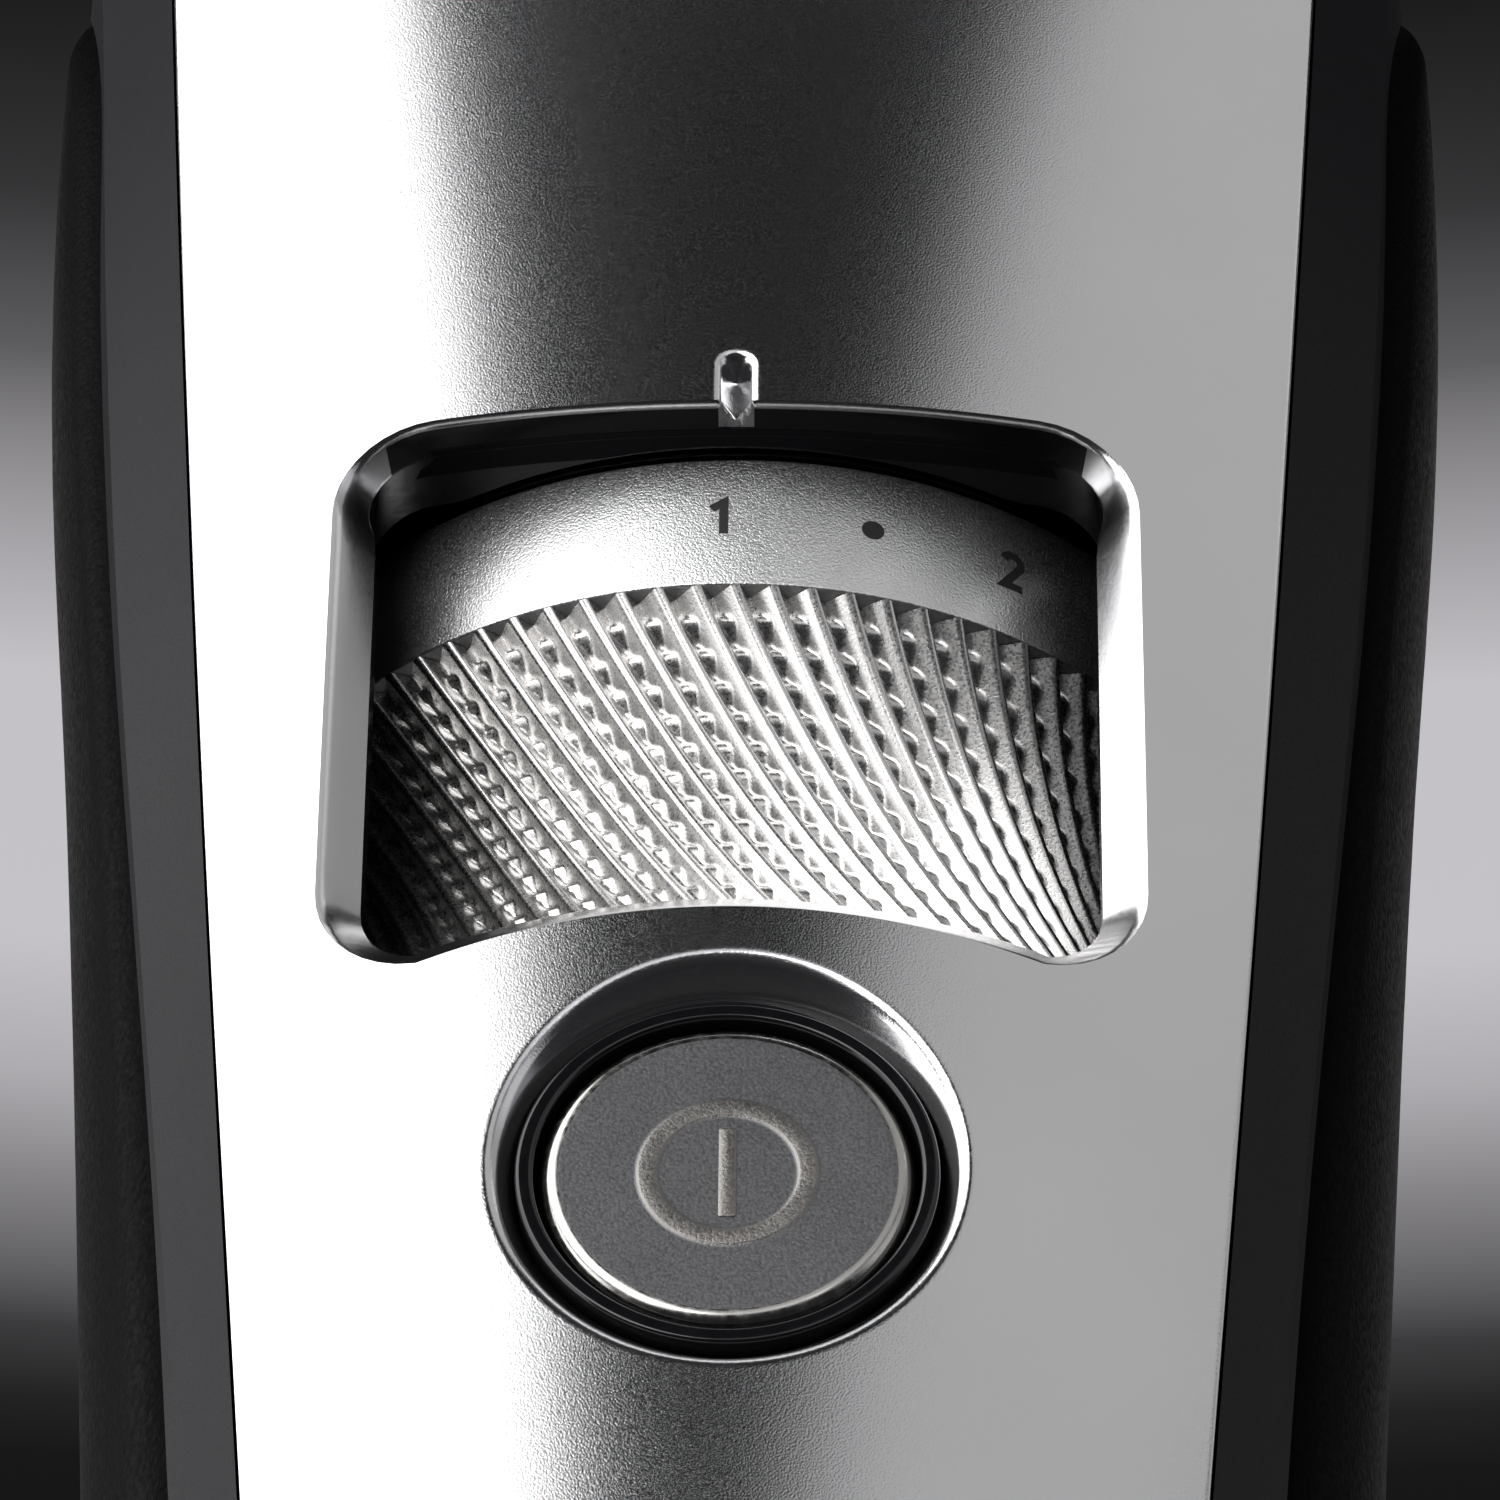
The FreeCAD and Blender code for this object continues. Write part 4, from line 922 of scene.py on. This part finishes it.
def make_floor():
    """Pale shelf that the trimmer stands on, near its front edge (metres)."""
    half, front, back, thick = 1.2, -0.034, 2.0, 0.02
    outline = round_corners([(-half, front), (half, front), (half, back), (-half, back)], (0.02,) * 4)
    points = [(x, y, z) for z in (-thick, 0.0) for x, y in outline]
    n = len(outline)
    faces = band_faces(0, n, n) + [list(range(n))[::-1], list(range(n, 2 * n))]
    mesh = bpy.data.meshes.new("floor")
    mesh.from_pydata(points, [], faces)
    mesh.materials.append(grained("floor_pale", (0.62, 0.61, 0.60), 0.0, 0.6, 2.0, 0.02, tint=0.03,
                                  mottle=40.0))
    floor = bpy.data.objects.new("floor", mesh)
    bpy.context.scene.collection.objects.link(floor)


# (height share, brightness) of the room from straight down to straight up
ROOM_STOPS = [(0.0, 0.02), (0.46, 0.03), (0.50, 0.30), (0.62, 0.30), (0.72, 0.004), (0.9, 0.012),
              (1.0, 0.10)]
# (share of the glow's own height, brightness), upwards
GLOW_STOPS = [(0.0, 0.0), (0.105, 0.002), (0.14, 0.010), (0.18, 0.038), (0.266, 0.23),
              (0.323, 0.41), (0.402, 0.555), (0.546, 0.545), (0.644, 0.30), (0.719, 0.112),
              (0.803, 0.036), (0.907, 0.005), (1.0, 0.0)]


def make_world():
    """Dim room with a soft pale glow high behind the object."""
    world = bpy.data.worlds.new("studio")
    world.use_nodes = True
    tree = world.node_tree
    place = tree.nodes.new("ShaderNodeTexCoord")
    direction = tree.nodes.new("ShaderNodeSeparateXYZ")
    tree.links.new(place.outputs["Generated"], direction.inputs[0])

    def share(axis, low, high):
        """From 0 to 1 as the sky's direction along an axis goes from low to high."""
        node = tree.nodes.new("ShaderNodeMapRange")
        node.inputs["From Min"].default_value = low
        node.inputs["From Max"].default_value = high
        tree.links.new(direction.outputs[axis], node.inputs["Value"])
        return node.outputs["Result"]

    def brightness(stops, tint, fac):
        node = tree.nodes.new("ShaderNodeValToRGB")
        elements = node.color_ramp.elements
        while len(elements) < len(stops):
            elements.new(0.5)
        for element, (position, value) in zip(elements, stops):
            element.position = position
            element.color = [value * channel for channel in tint] + [1]
        tree.links.new(fac, node.inputs["Fac"])
        return node.outputs["Color"]

    mix = tree.nodes.new("ShaderNodeMix")
    mix.data_type = "RGBA"
    mix.blend_type = "ADD"
    room = brightness(ROOM_STOPS, (1.0, 1.0, 1.06), share("Z", -1.0, 1.0))
    glow = brightness(GLOW_STOPS, (1.0, 0.97, 1.02), share("Z", 0.565, 0.715))
    tree.links.new(share("Y", 0.68, 0.74), mix.inputs["Factor"])
    tree.links.new(room, mix.inputs["A"])
    tree.links.new(glow, mix.inputs["B"])
    tree.links.new(mix.outputs["Result"], tree.nodes["Background"].inputs["Color"])
    bpy.context.scene.world = world


def make_camera():
    """Camera below and in front of the dial, looking up the handle."""
    data = bpy.data.cameras.new("camera")
    data.sensor_width = CAMERA_SENSOR
    data.lens = CAMERA_LENS
    data.clip_start, data.clip_end = 0.01, 50.0
    camera = bpy.data.objects.new("camera", data)
    place, target = Vector(CAMERA_PLACE) * MM, Vector(CAMERA_TARGET) * MM
    camera.location = place
    aim = (target - place).to_track_quat("-Z", "Y").to_matrix()
    camera.rotation_euler = (aim @ Matrix.Rotation(math.radians(CAMERA_ROLL), 3, "Z")).to_euler()
    bpy.context.scene.collection.objects.link(camera)
    bpy.context.scene.camera = camera


dress_cad_nodes()
make_grips()
make_panel()
make_knurl()
make_scale_ring()
make_numerals()
make_seal()
make_button_cap()
make_button_bar()
make_button_ring()

make_floor()
make_world()
make_camera()
# name, side, elevation, width, height, brightness
area_light("left_box_front", -31.8, 29, 0.38, 0.95, 3.4, turn=18)
area_light("left_box_side", -72, 34, 0.36, 0.84, 2.6)
area_light("left_box_back", -62, 130, 0.36, 0.40, 2.2)
area_light("right_box_front", 23, 38, 0.28, 0.80, 0.56, turn=-24)
area_light("right_box_side", 58, 38, 0.40, 0.60, 0.40)
area_light("right_box_back", 62, 130, 0.36, 0.40, 0.45)
area_light("rear_box", 0, 152, 0.60, 0.40, 0.35)
area_light("low_box", 0, 3, 0.50, 0.12, 0.7)
area_light("top_box", 0, 84, 0.50, 0.26, 1.0)
bpy.context.scene.view_settings.view_transform = "Standard"
